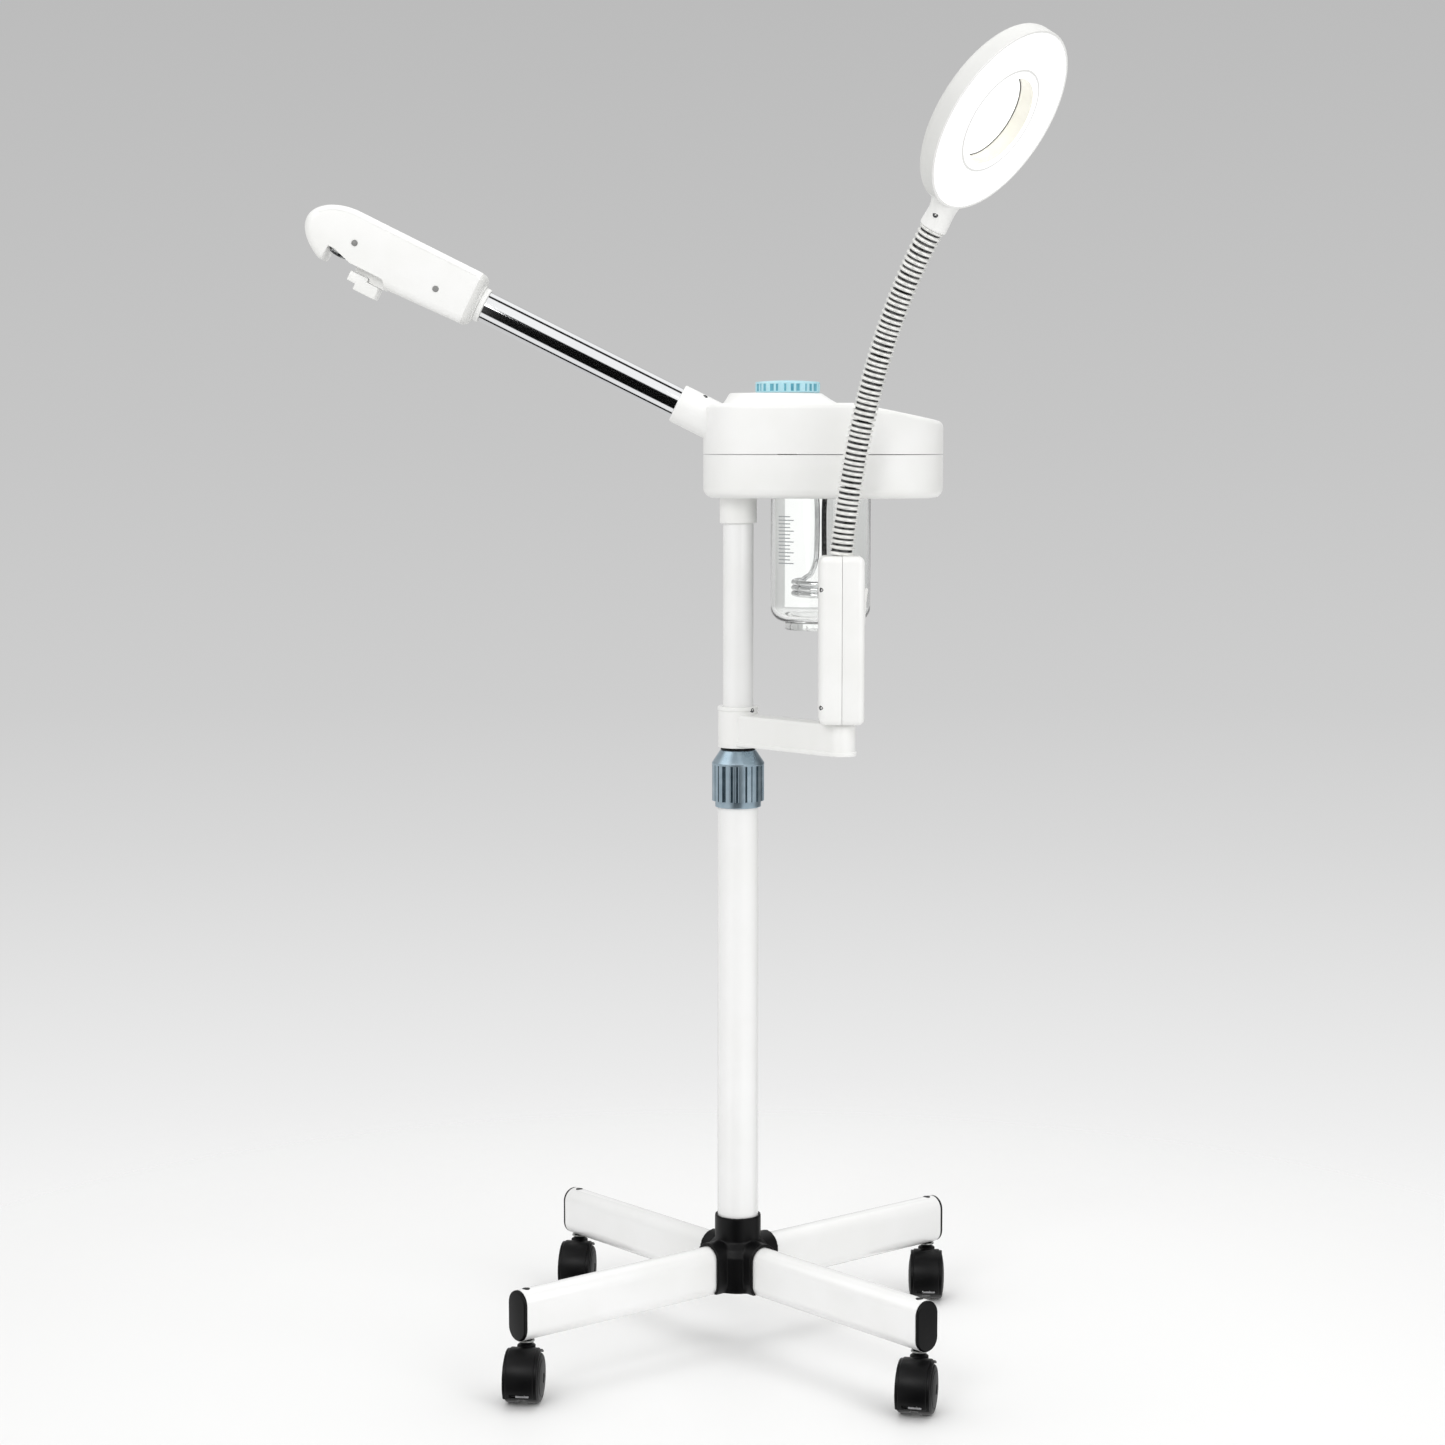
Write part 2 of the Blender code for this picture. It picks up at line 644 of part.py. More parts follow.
def caster_frame_mesh():
    # The axle runs along X, in front of the stem.
    half_width = HOOD_WIDTH / 2
    axle = Matrix.Translation((0, -CASTER_TRAIL, WHEEL_RADIUS))
    outer = WHEEL_RADIUS + WHEEL_GAP + HOOD_WALL
    side_view = arc((0, 0), outer, math.pi - HOOD_FRONT, math.pi - HOOD_BACK, 9)
    side_view += arc((0, 0), CASTER_WEB, math.pi - HOOD_BACK, -math.pi - HOOD_FRONT, 5)
    upright = frame_of((0, 1, 0), (0, 0, 1), (1, 0, 0), axle.translation)
    hood = plate("hood", [side_view], -half_width, half_width, None, upright)
    neck_top = LEG_UNDERSIDE - FIT
    stem_top = LEG_UNDERSIDE + STEM_LENGTH
    neck = turned(
        "neck",
        [
            (0, stem_top), (STEM_RADIUS, stem_top), (STEM_RADIUS, neck_top),
            (NECK_RADIUS, neck_top), (NECK_RADIUS, 2 * WHEEL_RADIUS - HOOD_WALL),
            (0, 2 * WHEEL_RADIUS - HOOD_WALL),
        ],
        None, None, cutters, 12,
    )
    fused(hood, neck)
    sideways = frame_of((0, 1, 0), (0, 0, 1), (1, 0, 0), axle.translation)
    for side in (1, -1):
        ends = sorted((side * WEB / 2, side * HOOD_WIDTH))
        space = cylinder(
            f"wheel_space_{side}", WHEEL_RADIUS + WHEEL_GAP, *ends, None, sideways, sides=18,
        )
        boolean(hood, space)
    slot_half = HOOD_SLOT_WIDTH / 2
    slot = block(
        "hood_slot",
        (-slot_half, -CASTER_TRAIL - outer, HOOD_SLOT_Z),
        (slot_half, -CASTER_TRAIL - WHEEL_RADIUS + HOOD_WALL, HOOD_SLOT_Z + HOOD_SLOT_HEIGHT),
    )
    boolean(hood, slot)
    bake(hood)
    axle_end = WEB / 2 + 2 * FIT + WHEEL_WIDTH - WHEEL_DOME
    fused(hood, cylinder("axle", AXLE_RADIUS, -axle_end, axle_end, None, sideways, sides=12))
    shade(hood)
    mesh = hood.data
    mesh.transform(hood.matrix_world)
    bpy.data.objects.remove(hood, do_unlink=True)
    return mesh


def wheel_mesh():
    # Turned about Z, with the outer face upwards.
    bore = AXLE_RADIUS + FIT
    tread = WHEEL_RADIUS / math.cos(math.pi / WHEEL_SIDES)
    edge = tread - WHEEL_EDGE
    shoulder = WHEEL_WIDTH - WHEEL_DOME
    wheel = turned(
        "wheel",
        [
            (bore, WHEEL_WIDTH), (edge, shoulder), (tread, shoulder - WHEEL_EDGE), (tread, 0),
            (bore, 0),
        ],
        None, None, parts, WHEEL_SIDES,
    )
    bake(wheel)
    shade(wheel)
    mesh = wheel.data
    bpy.data.objects.remove(wheel, do_unlink=True)
    return mesh


def make_casters():
    frame_mesh = caster_frame_mesh()
    frame_mesh.materials.clear()
    frame_mesh.materials.append(BLACK_PLASTIC)
    tyre_mesh = wheel_mesh()
    tyre_mesh.materials.clear()
    tyre_mesh.materials.append(BLACK_RUBBER)
    half_step = Matrix.Rotation(math.pi / WHEEL_SIDES, 4, "Z")
    for index in range(LEG_COUNT):
        number = index + 1
        place = caster_place(index)
        object_with(frame_mesh, f"caster_frame_{number}", BLACK_PLASTIC, place)
        for side, letter in ((1, "a"), (-1, "b")):
            hub = Vector((side * (WEB / 2 + 2 * FIT), -CASTER_TRAIL, WHEEL_RADIUS))
            lying = frame_of((0, side, 0), (0, 0, 1), (side, 0, 0), hub)
            object_with(
                tyre_mesh, f"caster_wheel_{number}{letter}", BLACK_RUBBER, place @ lying @ half_step,
            )


# Posts and lock collar

def make_posts():
    inside = LOWER_POST_RADIUS - LOWER_POST_WALL
    bottom = POST_SEAT + FIT
    turned(
        "lower_post",
        [
            (inside, LOWER_POST_TOP), (LOWER_POST_RADIUS, LOWER_POST_TOP), (LOWER_POST_RADIUS, bottom),
            (BOLT_RADIUS + FIT, bottom), (BOLT_RADIUS + FIT, bottom + POST_WEB),
            (inside, bottom + POST_WEB),
        ],
        WHITE_PAINT,
    )
    upper_inside = UPPER_POST_RADIUS - UPPER_POST_WALL
    turned(
        "upper_post",
        [
            (upper_inside, UPPER_POST_TOP), (UPPER_POST_RADIUS, UPPER_POST_TOP),
            (UPPER_POST_RADIUS, UPPER_POST_BOTTOM), (upper_inside, UPPER_POST_BOTTOM),
        ],
        WHITE_PAINT,
    )
    lip = UPPER_POST_BOTTOM - FIT
    turned(
        "post_glide",
        [
            (UPPER_POST_RADIUS + FIT, lip + GLIDE_LENGTH), (inside - FIT, lip + GLIDE_LENGTH),
            (inside - FIT, lip - GLIDE_LIP), (upper_inside, lip - GLIDE_LIP),
            (upper_inside, lip), (UPPER_POST_RADIUS + FIT, lip),
        ],
        BLACK_PLASTIC, sides=16,
    )

    band_low = COLLAR_BOTTOM + COLLAR_FOOT
    band_high = band_low + COLLAR_BAND
    step = LOWER_POST_TOP + FIT
    collar = turned(
        "lock_collar",
        [
            (COLLAR_MOUTH, COLLAR_TOP), (COLLAR_RADIUS, band_high), (COLLAR_RADIUS, band_low),
            (COLLAR_FOOT_RADIUS, band_low), (COLLAR_FOOT_RADIUS, COLLAR_BOTTOM),
            (LOWER_POST_RADIUS + FIT, COLLAR_BOTTOM), (LOWER_POST_RADIUS + FIT, step),
            (UPPER_POST_RADIUS + FIT, step), (UPPER_POST_RADIUS + FIT, COLLAR_TOP),
        ],
        BLUE_STEEL, sides=2 * COLLAR_FLUTES,
    )
    bake(collar)
    fluted(collar, band_low - FIT, band_high + FIT, COLLAR_RADIUS, COLLAR_FLUTE, COLLAR_FLUTES)
    shade(collar)


# Steam head

def housing_outline():
    taper = math.asin((LARGE_END - SMALL_END) / (LARGE_END_X - SMALL_END_X))
    side = math.pi / 2 + taper
    large = arc((LARGE_END_X, 0), LARGE_END, -side, side, 14)
    small = arc((SMALL_END_X, 0), SMALL_END, side, 2 * math.pi - side, 8)
    return large + small


def oval(centre_x, length, width, height, count=20):
    return [
        (
            centre_x + length / 2 * math.cos(2 * math.pi * step / count),
            width / 2 * math.sin(2 * math.pi * step / count),
            height,
        )
        for step in range(count)
    ]


def platform():
    # The raised filler platform, lofted from its wide foot to its flat top.
    bm = bmesh.new()
    loops = []
    rises = [-0.4, 0.06, 0.9, 1.0]
    spreads = [0.0, 0.15, 0.8, 1.0]
    for rise, spread in zip(rises, spreads):
        ring = oval(
            PLATFORM_FOOT_X + (PLATFORM_X - PLATFORM_FOOT_X) * spread,
            PLATFORM_FOOT_LENGTH + (PLATFORM_LENGTH - PLATFORM_FOOT_LENGTH) * spread,
            PLATFORM_FOOT_WIDTH + (PLATFORM_WIDTH - PLATFORM_FOOT_WIDTH) * spread,
            DECK + (PLATFORM - DECK) * rise,
        )
        points = [bm.verts.new(point) for point in ring]
        loops.append([bm.edges.new((a, b)) for a, b in zip(points, points[1:] + points[:1])])
    for lower, upper in zip(loops, loops[1:]):
        bmesh.ops.bridge_loops(bm, edges=lower + upper)
    bmesh.ops.holes_fill(bm, edges=bm.edges)
    return object_from(bm, "platform", None, None, cutters)


def shell_of(body, open_at):
    # Opens a baked solid at a level and gives it walls.
    bm = bmesh.new()
    bm.from_mesh(body.data)
    lid = [face for face in bm.faces if all(abs(v.co.z - open_at) < 0.01 * MM for v in face.verts)]
    bmesh.ops.delete(bm, geom=lid, context="FACES")
    bm.to_mesh(body.data)
    bm.free()
    walls = body.modifiers.new("walls", "SOLIDIFY")
    walls.thickness = SHELL_WALL
    walls.offset = -1
    walls.use_even_offset = True
    return bake(body)


def arm_place(along=0.0):
    # X runs out along the arm, Z is square to it, and Y points to the front.
    outward = Vector((-math.cos(ARM_RISE), 0, math.sin(ARM_RISE)))
    upward = Vector((math.sin(ARM_RISE), 0, math.cos(ARM_RISE)))
    return frame_of(outward, Vector((0, -1, 0)), upward, Vector((0, 0, ARM_HEIGHT)) + outward * along)


def arm_turned(along):
    # Z runs out along the arm, for turned pieces.
    place = arm_place(along)
    return frame_of(place.col[1][:3], place.col[2][:3], place.col[0][:3], place.translation)


def deck_place(x, y):
    # A frame on the sloping deck, with Z square to it.
    along = Vector((math.cos(DECK_SLOPE), 0, -math.sin(DECK_SLOPE)))
    normal = Vector((math.sin(DECK_SLOPE), 0, math.cos(DECK_SLOPE)))
    height = DECK - (x - DECK_SLOPE_X) * math.tan(DECK_SLOPE)
    return frame_of(along, Vector((0, 1, 0)), normal, Vector((x, y, height)))


def button_places():
    return [deck_place(BUTTON_X, side * BUTTON_SPACING / 2) for side in (-1, 1)]


def make_housing():
    bottom_level = PARTING + PARTING_GAP
    upper = plate("housing_upper", [housing_outline()], bottom_level, DECK, WHITE_SHELL)
    slope = deck_place(DECK_SLOPE_X, 0)
    reach = 2 * (LARGE_END + LARGE_END_X)
    boolean(upper, block("deck_slope", (0, -reach, 0), (reach, reach, reach), None, slope))
    bake(upper)
    bm = bmesh.new()
    bm.from_mesh(upper.data)
    rim = [
        edge for edge in bm.edges
        if len(edge.link_faces) == 2 and sorted(
            abs(f.normal.z) > 0.5 for f in edge.link_faces
        ) == [False, True]
        and min(v.co.z for v in edge.verts) > bottom_level + DECK_ROUND
    ]
    bmesh.ops.bevel(
        bm, geom=rim, offset=DECK_ROUND, segments=2, profile=0.5, affect="EDGES", clamp_overlap=True
    )
    bm.to_mesh(upper.data)
    bm.free()
    fused(upper, platform())
    shell_of(upper, bottom_level)
    sleeve = cylinder(
        "sleeve", SLEEVE_RADIUS, SLEEVE_START, SLEEVE_END, None, arm_turned(0), cutters
    )
    fused(upper, sleeve)
    boolean(upper, cylinder(
        "tube_bore", TUBE_RADIUS + FIT, -SLEEVE_RADIUS, SLEEVE_END + FIT, None, arm_turned(0),
    ))
    fill = Matrix.Translation((FILL_X, 0, 0))
    neck_hole = FUNNEL_BORE + FUNNEL_WALL + FIT
    boolean(upper, cylinder("fill_hole", neck_hole, PARTING, PLATFORM + FIT, None, fill))
    for index, place in enumerate(button_places()):
        boolean(upper, cylinder(
            f"button_hole_{index}", BUTTON_RADIUS + FIT, -SLEEVE_RADIUS, FIT, None, place, sides=24,
        ))
    shade(bake(upper))

    lower = plate("housing_lower", [housing_outline()], HOUSING_BOTTOM, PARTING, WHITE_SHELL)
    bm = bmesh.new()
    bm.from_mesh(lower.data)
    rim = [edge for edge in bm.edges if all(v.co.z < HOUSING_BOTTOM + FIT for v in edge.verts)]
    bmesh.ops.bevel(
        bm, geom=rim, offset=HOUSING_BOTTOM_ROUND, segments=3, profile=0.5, affect="EDGES",
        clamp_overlap=True
    )
    bm.to_mesh(lower.data)
    bm.free()
    shell_of(lower, PARTING)
    jar = Matrix.Translation((JAR_X, 0, 0))
    socket_outer = JAR_RADIUS + 2 * FIT + SOCKET_WALL
    socket_top = UPPER_POST_TOP + FIT + POST_SOCKET_ROOF
    post_socket = cylinder(
        "post_socket", POST_SOCKET_RADIUS, HOUSING_BOTTOM - POST_SOCKET_DROP, socket_top,
    )
    standoffs = []
    for x_side in (-1, 1):
        for y_side in (-1, 1):
            spot = Matrix.Translation((
                BOARD_X + x_side * (BOARD_LENGTH / 2 - BOARD_INSET),
                y_side * (BOARD_WIDTH / 2 - BOARD_INSET), 0,
            ))
            standoffs.append(cylinder(
                f"standoff_{x_side}{y_side}", STANDOFF_RADIUS, HOUSING_BOTTOM + SHELL_WALL / 2,
                BOARD_Z - FIT,
                None, spot, sides=6,
            ))
    fused(lower, post_socket, *standoffs)
    boolean(lower, cylinder(
        "jar_hole", socket_outer + FIT, HOUSING_BOTTOM - FIT, PLATE_BOTTOM, None, jar,
    ))
    boolean(lower, cylinder(
        "post_hole", UPPER_POST_RADIUS + FIT, HOUSING_BOTTOM - POST_SOCKET_DROP - FIT,
        UPPER_POST_TOP + FIT,
    ))
    boolean(lower, inlet_block(
        "inlet_hole", INLET_WIDTH + 2 * FIT, INLET_HEIGHT + 2 * FIT, -INLET_DEPTH, INLET_RIM,
    ))
    shade(bake(lower))

    # The jar's collar drops through the floor and hangs on its flange.
    bore = JAR_RADIUS + 2 * FIT
    rim = PLATE_BOTTOM - FIT
    flange_low = HOUSING_BOTTOM + SHELL_WALL + FIT
    flange = socket_outer + SOCKET_FLANGE
    turned(
        "jar_collar",
        [
            (bore, rim), (flange, rim), (flange, flange_low), (socket_outer, flange_low),
            (socket_outer, HOUSING_BOTTOM), (bore, HOUSING_BOTTOM),
        ],
        WHITE_SHELL, jar,
    )


def inlet_block(name, width, height, start, end, material=None, collection=cutters):
    # Depth counts outwards from the back wall of the housing.
    low = (LARGE_END_X - width / 2, LARGE_END + start, INLET_Z - height / 2)
    high = (LARGE_END_X + width / 2, LARGE_END + end, INLET_Z + height / 2)
    return block(name, low, high, material, None, collection)


def make_inlet():
    inlet = inlet_block(
        "power_inlet", INLET_WIDTH, INLET_HEIGHT, -INLET_DEPTH, INLET_FLANGE, BLACK_PLASTIC, parts,
    )
    flange = inlet_block(
        "inlet_flange", INLET_WIDTH + 2 * INLET_RIM, INLET_HEIGHT + 2 * INLET_RIM, FIT, INLET_FLANGE,
    )
    fused(inlet, flange)
    recess = inlet_block(
        "inlet_recess", INLET_WIDTH - 2 * INLET_RIM, INLET_HEIGHT - 2 * INLET_RIM,
        INLET_RIM - INLET_DEPTH, INLET_FLANGE + FIT,
    )
    boolean(inlet, recess)
    bake(inlet)
    pins = []
    for index, (x, z) in enumerate(((-2.4, -0.8), (0.0, 1.2), (2.4, -0.8))):
        centre_x = LARGE_END_X + x * INLET_RIM
        centre_z = INLET_Z + z * INLET_RIM
        low = (centre_x - INLET_PIN, LARGE_END - INLET_DEPTH + INLET_RIM / 2, centre_z - INLET_PIN)
        high = (centre_x + INLET_PIN, LARGE_END - INLET_RIM, centre_z + INLET_PIN)
        pins.append(block(f"inlet_pin_{index}", low, high))
    fused(inlet, *pins)


def make_board():
    half_length, half_width = BOARD_LENGTH / 2, BOARD_WIDTH / 2
    low = (BOARD_X - half_length, -half_width, BOARD_Z)
    high = (BOARD_X + half_length, half_width, BOARD_Z + BOARD)
    board = block("control_board", low, high, BOARD_GREEN, None, parts)
    relay_height = 9 * BOARD
    relay = block(
        "relay", (BOARD_X - half_length / 2, -half_width / 2, BOARD_Z + BOARD / 2),
        (BOARD_X + half_length / 3, 0, BOARD_Z + relay_height),
    )
    capacitor = cylinder(
        "capacitor", BOARD_INSET, BOARD_Z + BOARD / 2, BOARD_Z + relay_height, None,
        Matrix.Translation((BOARD_X, half_width / 2, 0)), sides=12,
    )
    fused(board, relay, capacitor)


def make_buttons():
    for name, place in zip(("power_button", "ozone_button"), button_places()):
        flange_top = -SHELL_WALL - FIT
        button = turned(
            name,
            [
                (0, BUTTON_PROUD), (BUTTON_RADIUS - BUTTON_PROUD, BUTTON_PROUD), (BUTTON_RADIUS, 0),
                (BUTTON_RADIUS, flange_top), (BUTTON_FLANGE_RADIUS, flange_top),
                (BUTTON_FLANGE_RADIUS, flange_top - BUTTON_FLANGE),
                (BUTTON_RADIUS / 2, flange_top - BUTTON_FLANGE),
                (BUTTON_RADIUS / 2, -BUTTON_LENGTH), (0, -BUTTON_LENGTH),
            ],
            WHITE_SHELL, place, sides=12,
        )
        shade(bake(button))


def make_filler():
    fill = Matrix.Translation((FILL_X, 0, 0))
    flange_low = PLATFORM + FIT
    flange_high = flange_low + FUNNEL_FLANGE
    neck_outer = FUNNEL_BORE + FUNNEL_WALL
    neck_low = flange_high - FUNNEL_NECK
    cone_low = neck_low - FUNNEL_CONE
    spout_outer = SPOUT_BORE + FUNNEL_WALL
    turned(
        "fill_funnel",
        [
            (FUNNEL_BORE, flange_high), (FUNNEL_FLANGE_RADIUS, flange_high),
            (FUNNEL_FLANGE_RADIUS, flange_low),
            (neck_outer, flange_low), (neck_outer, neck_low), (spout_outer, cone_low),
            (spout_outer, PLATE_BOTTOM - JAR_SEAL), (SPOUT_BORE, PLATE_BOTTOM - JAR_SEAL),
            (SPOUT_BORE, cone_low), (FUNNEL_BORE, neck_low),
        ],
        WHITE_SHELL, fill, sides=16,
    )
    gasket_low = flange_high + FIT
    gasket_high = gasket_low + GASKET
    turned(
        "cap_gasket",
        [
            (FUNNEL_BORE + FIT, gasket_high), (FUNNEL_FLANGE_RADIUS, gasket_high),
            (FUNNEL_FLANGE_RADIUS, gasket_low), (FUNNEL_BORE + FIT, gasket_low),
        ],
        SILICONE, fill,
    )
    skirt = FILL_CAP_RADIUS - FILL_CAP_SKIRT
    skirt_low = PLATFORM + FIT
    shoulder = PLATFORM + FILL_CAP_RISE - FILL_CAP_CROWN
    plug = FUNNEL_BORE - 2 * FIT
    edge = FILL_CAP_RADIUS - 3 * FIT
    crown_radius = FILL_CAP_RADIUS * 0.6
    cap = turned(
        "fill_cap",
        [
            (0, PLATFORM + FILL_CAP_RISE),
            (crown_radius, PLATFORM + FILL_CAP_RISE - FILL_CAP_CROWN / 3),
            (edge, shoulder + FIT), (FILL_CAP_RADIUS, shoulder - 2 * FIT), (FILL_CAP_RADIUS, skirt_low),
            (skirt, skirt_low), (skirt, gasket_high + FIT), (plug, gasket_high + FIT),
            (plug, gasket_high - FILL_PLUG), (0, gasket_high - FILL_PLUG),
        ],
        AQUA, fill, sides=2 * FILL_CAP_RIBS,
    )
    bake(cap)
    fluted(cap, skirt_low - FIT, shoulder - FIT, FILL_CAP_RADIUS, FILL_CAP_RIB, FILL_CAP_RIBS)
    shade(cap)


def make_jar():
    jar_place = Matrix.Translation((JAR_X, 0, 0))
    inner = JAR_RADIUS - JAR_WALL
    floor = JAR_BOTTOM + JAR_FLOOR
    foot_low = JAR_BOTTOM - JAR_FOOT
    foot_inner = JAR_FOOT_RADIUS - JAR_FOOT_WALL
    corner = (JAR_RADIUS - JAR_CORNER, JAR_BOTTOM + JAR_CORNER)
    inner_round = JAR_CORNER - JAR_WALL
    outside = arc(corner, JAR_CORNER, 0, -math.pi / 2, 3)
    inside = arc((corner[0], floor + inner_round), inner_round, -math.pi / 2, 0, 2)
    jar = turned(
        "jar",
        [(inner, JAR_TOP), (JAR_RADIUS, JAR_TOP)] + outside
        + [
            (JAR_FOOT_RADIUS, JAR_BOTTOM), (JAR_FOOT_RADIUS - FIT, foot_low), (foot_inner, foot_low),
            (foot_inner, JAR_BOTTOM), (0, JAR_BOTTOM), (0, floor),
        ]
        + inside,
        GLASS, jar_place, sides=28,
    )
    shade(bake(jar))
    turned(
        "jar_seal",
        [
            (inner, SEAL_TOP), (JAR_RADIUS, SEAL_TOP), (JAR_RADIUS, JAR_TOP + FIT),
            (inner, JAR_TOP + FIT),
        ],
        SILICONE, jar_place,
    )

    plate_radius = JAR_RADIUS + 2 * FIT + SOCKET_WALL
    flange = cylinder("heater_flange", plate_radius, PLATE_BOTTOM, PLATE_TOP, STEEL, jar_place, parts)
    spout_hole = SPOUT_BORE + FUNNEL_WALL + FIT
    boolean(flange, cylinder(
        "spout_hole", spout_hole, PLATE_BOTTOM - FIT, PLATE_TOP + FIT, None,
        Matrix.Translation((FILL_X, 0, 0)), sides=16,
    ))
    for side in (-1, 1):
        leg = Matrix.Translation((JAR_X + side * COIL_LEG_OFFSET, 0, 0))
        boolean(flange, cylinder(
            f"coil_hole_{side}", COIL_TUBE + FIT, PLATE_BOTTOM - FIT, PLATE_TOP + FIT, None, leg,
            sides=12,
        ))
    steam_hole = Matrix.Translation((JAR_X, 2.6 * COIL_LEG_OFFSET, 0))
    boolean(flange, cylinder(
        "steam_hole", SPOUT_BORE, PLATE_BOTTOM - FIT, PLATE_TOP + FIT, None, steam_hole, sides=16,
    ))
    shade(bake(flange))


def smooth_path(keys, spacing):
    # Points at an even spacing on a Catmull-Rom curve through the keys.
    padded = [2 * keys[0] - keys[1]] + keys + [2 * keys[-1] - keys[-2]]
    fine = []
    for a, b, c, d in zip(padded, padded[1:], padded[2:], padded[3:]):
        for step in range(12):
            t = step / 12
            fine.append(
                0.5 * (
                    2 * b + (c - a) * t + (2 * a - 5 * b + 4 * c - d) * t ** 2
                    + (3 * b - a - 3 * c + d) * t ** 3
                )
            )
    fine.append(keys[-1])
    points = [fine[0]]
    run = 0.0
    for first, second in zip(fine, fine[1:]):
        run += (second - first).length
        if run >= spacing:
            points.append(second)
            run = 0.0
    if (points[-1] - fine[-1]).length < spacing / 2:
        points.pop()
    return points + [fine[-1]]


def coil_path():
    # Down one leg, round the turns, in under them and up the other leg.
    axis = Vector((JAR_X, 0, 0))
    first_leg = axis + Vector((COIL_LEG_OFFSET, 0, 0))
    last_leg = axis - Vector((COIL_LEG_OFFSET, 0, 0))
    keys = [first_leg + Vector((0, 0, COIL_LEG_TOP)), first_leg + Vector(
        (0, 0, COIL_TOP + 3 * COIL_BEND),
    )]
    keys.append(first_leg + Vector((0, 0, COIL_TOP + COIL_BEND)))
    start = math.radians(70)
    helix = []
    per_turn = 24
    for step in range(COIL_TURNS * per_turn + 1):
        turn = start + 2 * math.pi * step / per_turn
        helix.append(axis + Vector((
            COIL_RADIUS * math.cos(turn), COIL_RADIUS * math.sin(turn),
            COIL_TOP - COIL_PITCH * step / per_turn,
        )))
    low = COIL_TOP - COIL_PITCH * COIL_TURNS
    under = start + math.radians(75)
    tail_reach = 0.72 * COIL_RADIUS
    tail = [
        axis + Vector((tail_reach * math.cos(under), tail_reach * math.sin(under), low - 0.5 * COIL_TUBE)),
        last_leg + Vector((0, 0, low + COIL_BEND)),
        last_leg + Vector((0, 0, COIL_TOP + COIL_BEND)),
        last_leg + Vector((0, 0, COIL_LEG_TOP)),
    ]
    bent = smooth_path(keys[1:] + helix + tail[:-1], 1.4 * COIL_TUBE)
    return keys[:1] + bent + tail[-1:]


def least_self_gap(points, radius):
    # Points closer along the tube than half a loop are neighbours and don't count.
    gap = math.inf
    skip = max(4, round(3 * radius * math.pi / (points[1] - points[0]).length))
    for index, first in enumerate(points):
        for second in points[index + skip:]:
            gap = min(gap, (first - second).length - 2 * radius)
    return gap


def make_coil():
    points = coil_path()
    print(f"heater coil least gap to itself: {least_self_gap(points, COIL_TUBE) / MM:.2f} mm")
    shade(tube_along("heater_coil", points, COIL_TUBE, CHROME, 1))


# Steam arm and nozzle

def make_steam_tube():
    tube_end = NOZZLE_START + NOZZLE_TUBE_DEPTH
    inside = TUBE_RADIUS - TUBE_WALL
    turned(
        "steam_tube",
        [
            (inside, tube_end), (TUBE_RADIUS, tube_end), (TUBE_RADIUS, TUBE_START),
            (inside, TUBE_START),
        ],
        CHROME, arm_turned(0),
    )


def nozzle_side_view():
    # Outline in the arm's own X and Z, clockwise from the upper heel.
    heel = NOZZLE_COLLAR
    round_heel = NOZZLE_ROUND
    upper = arc((heel + round_heel, NOZZLE_TOP - round_heel), round_heel, math.pi, math.pi / 2, 3)
    nose_height = NOZZLE_TOP - NOSE_TIP_Z
    nose = [
        (
            NOSE_START + (NOZZLE_LENGTH - NOSE_START) * math.sin(step * math.pi / 12),
            NOSE_TIP_Z + nose_height * math.cos(step * math.pi / 12),
        )
        for step in range(7)
    ]
    chin = [
        (NOZZLE_LENGTH - 0.12 * (NOZZLE_LENGTH - NOSE_LIP), NOSE_TIP_Z - 0.33 * NOZZLE_BELLY),
        (NOZZLE_LENGTH - 0.5 * (NOZZLE_LENGTH - NOSE_LIP), NOSE_TIP_Z - 0.72 * NOZZLE_BELLY),
        (NOSE_LIP, -NOZZLE_BELLY),
    ]
    belly = [(MOUTH_START, -NOZZLE_BELLY)]
    lower = arc((heel + round_heel, round_heel - NOZZLE_HEEL), round_heel, -math.pi / 2, -math.pi, 3)
    return upper + nose + chin + belly + lower


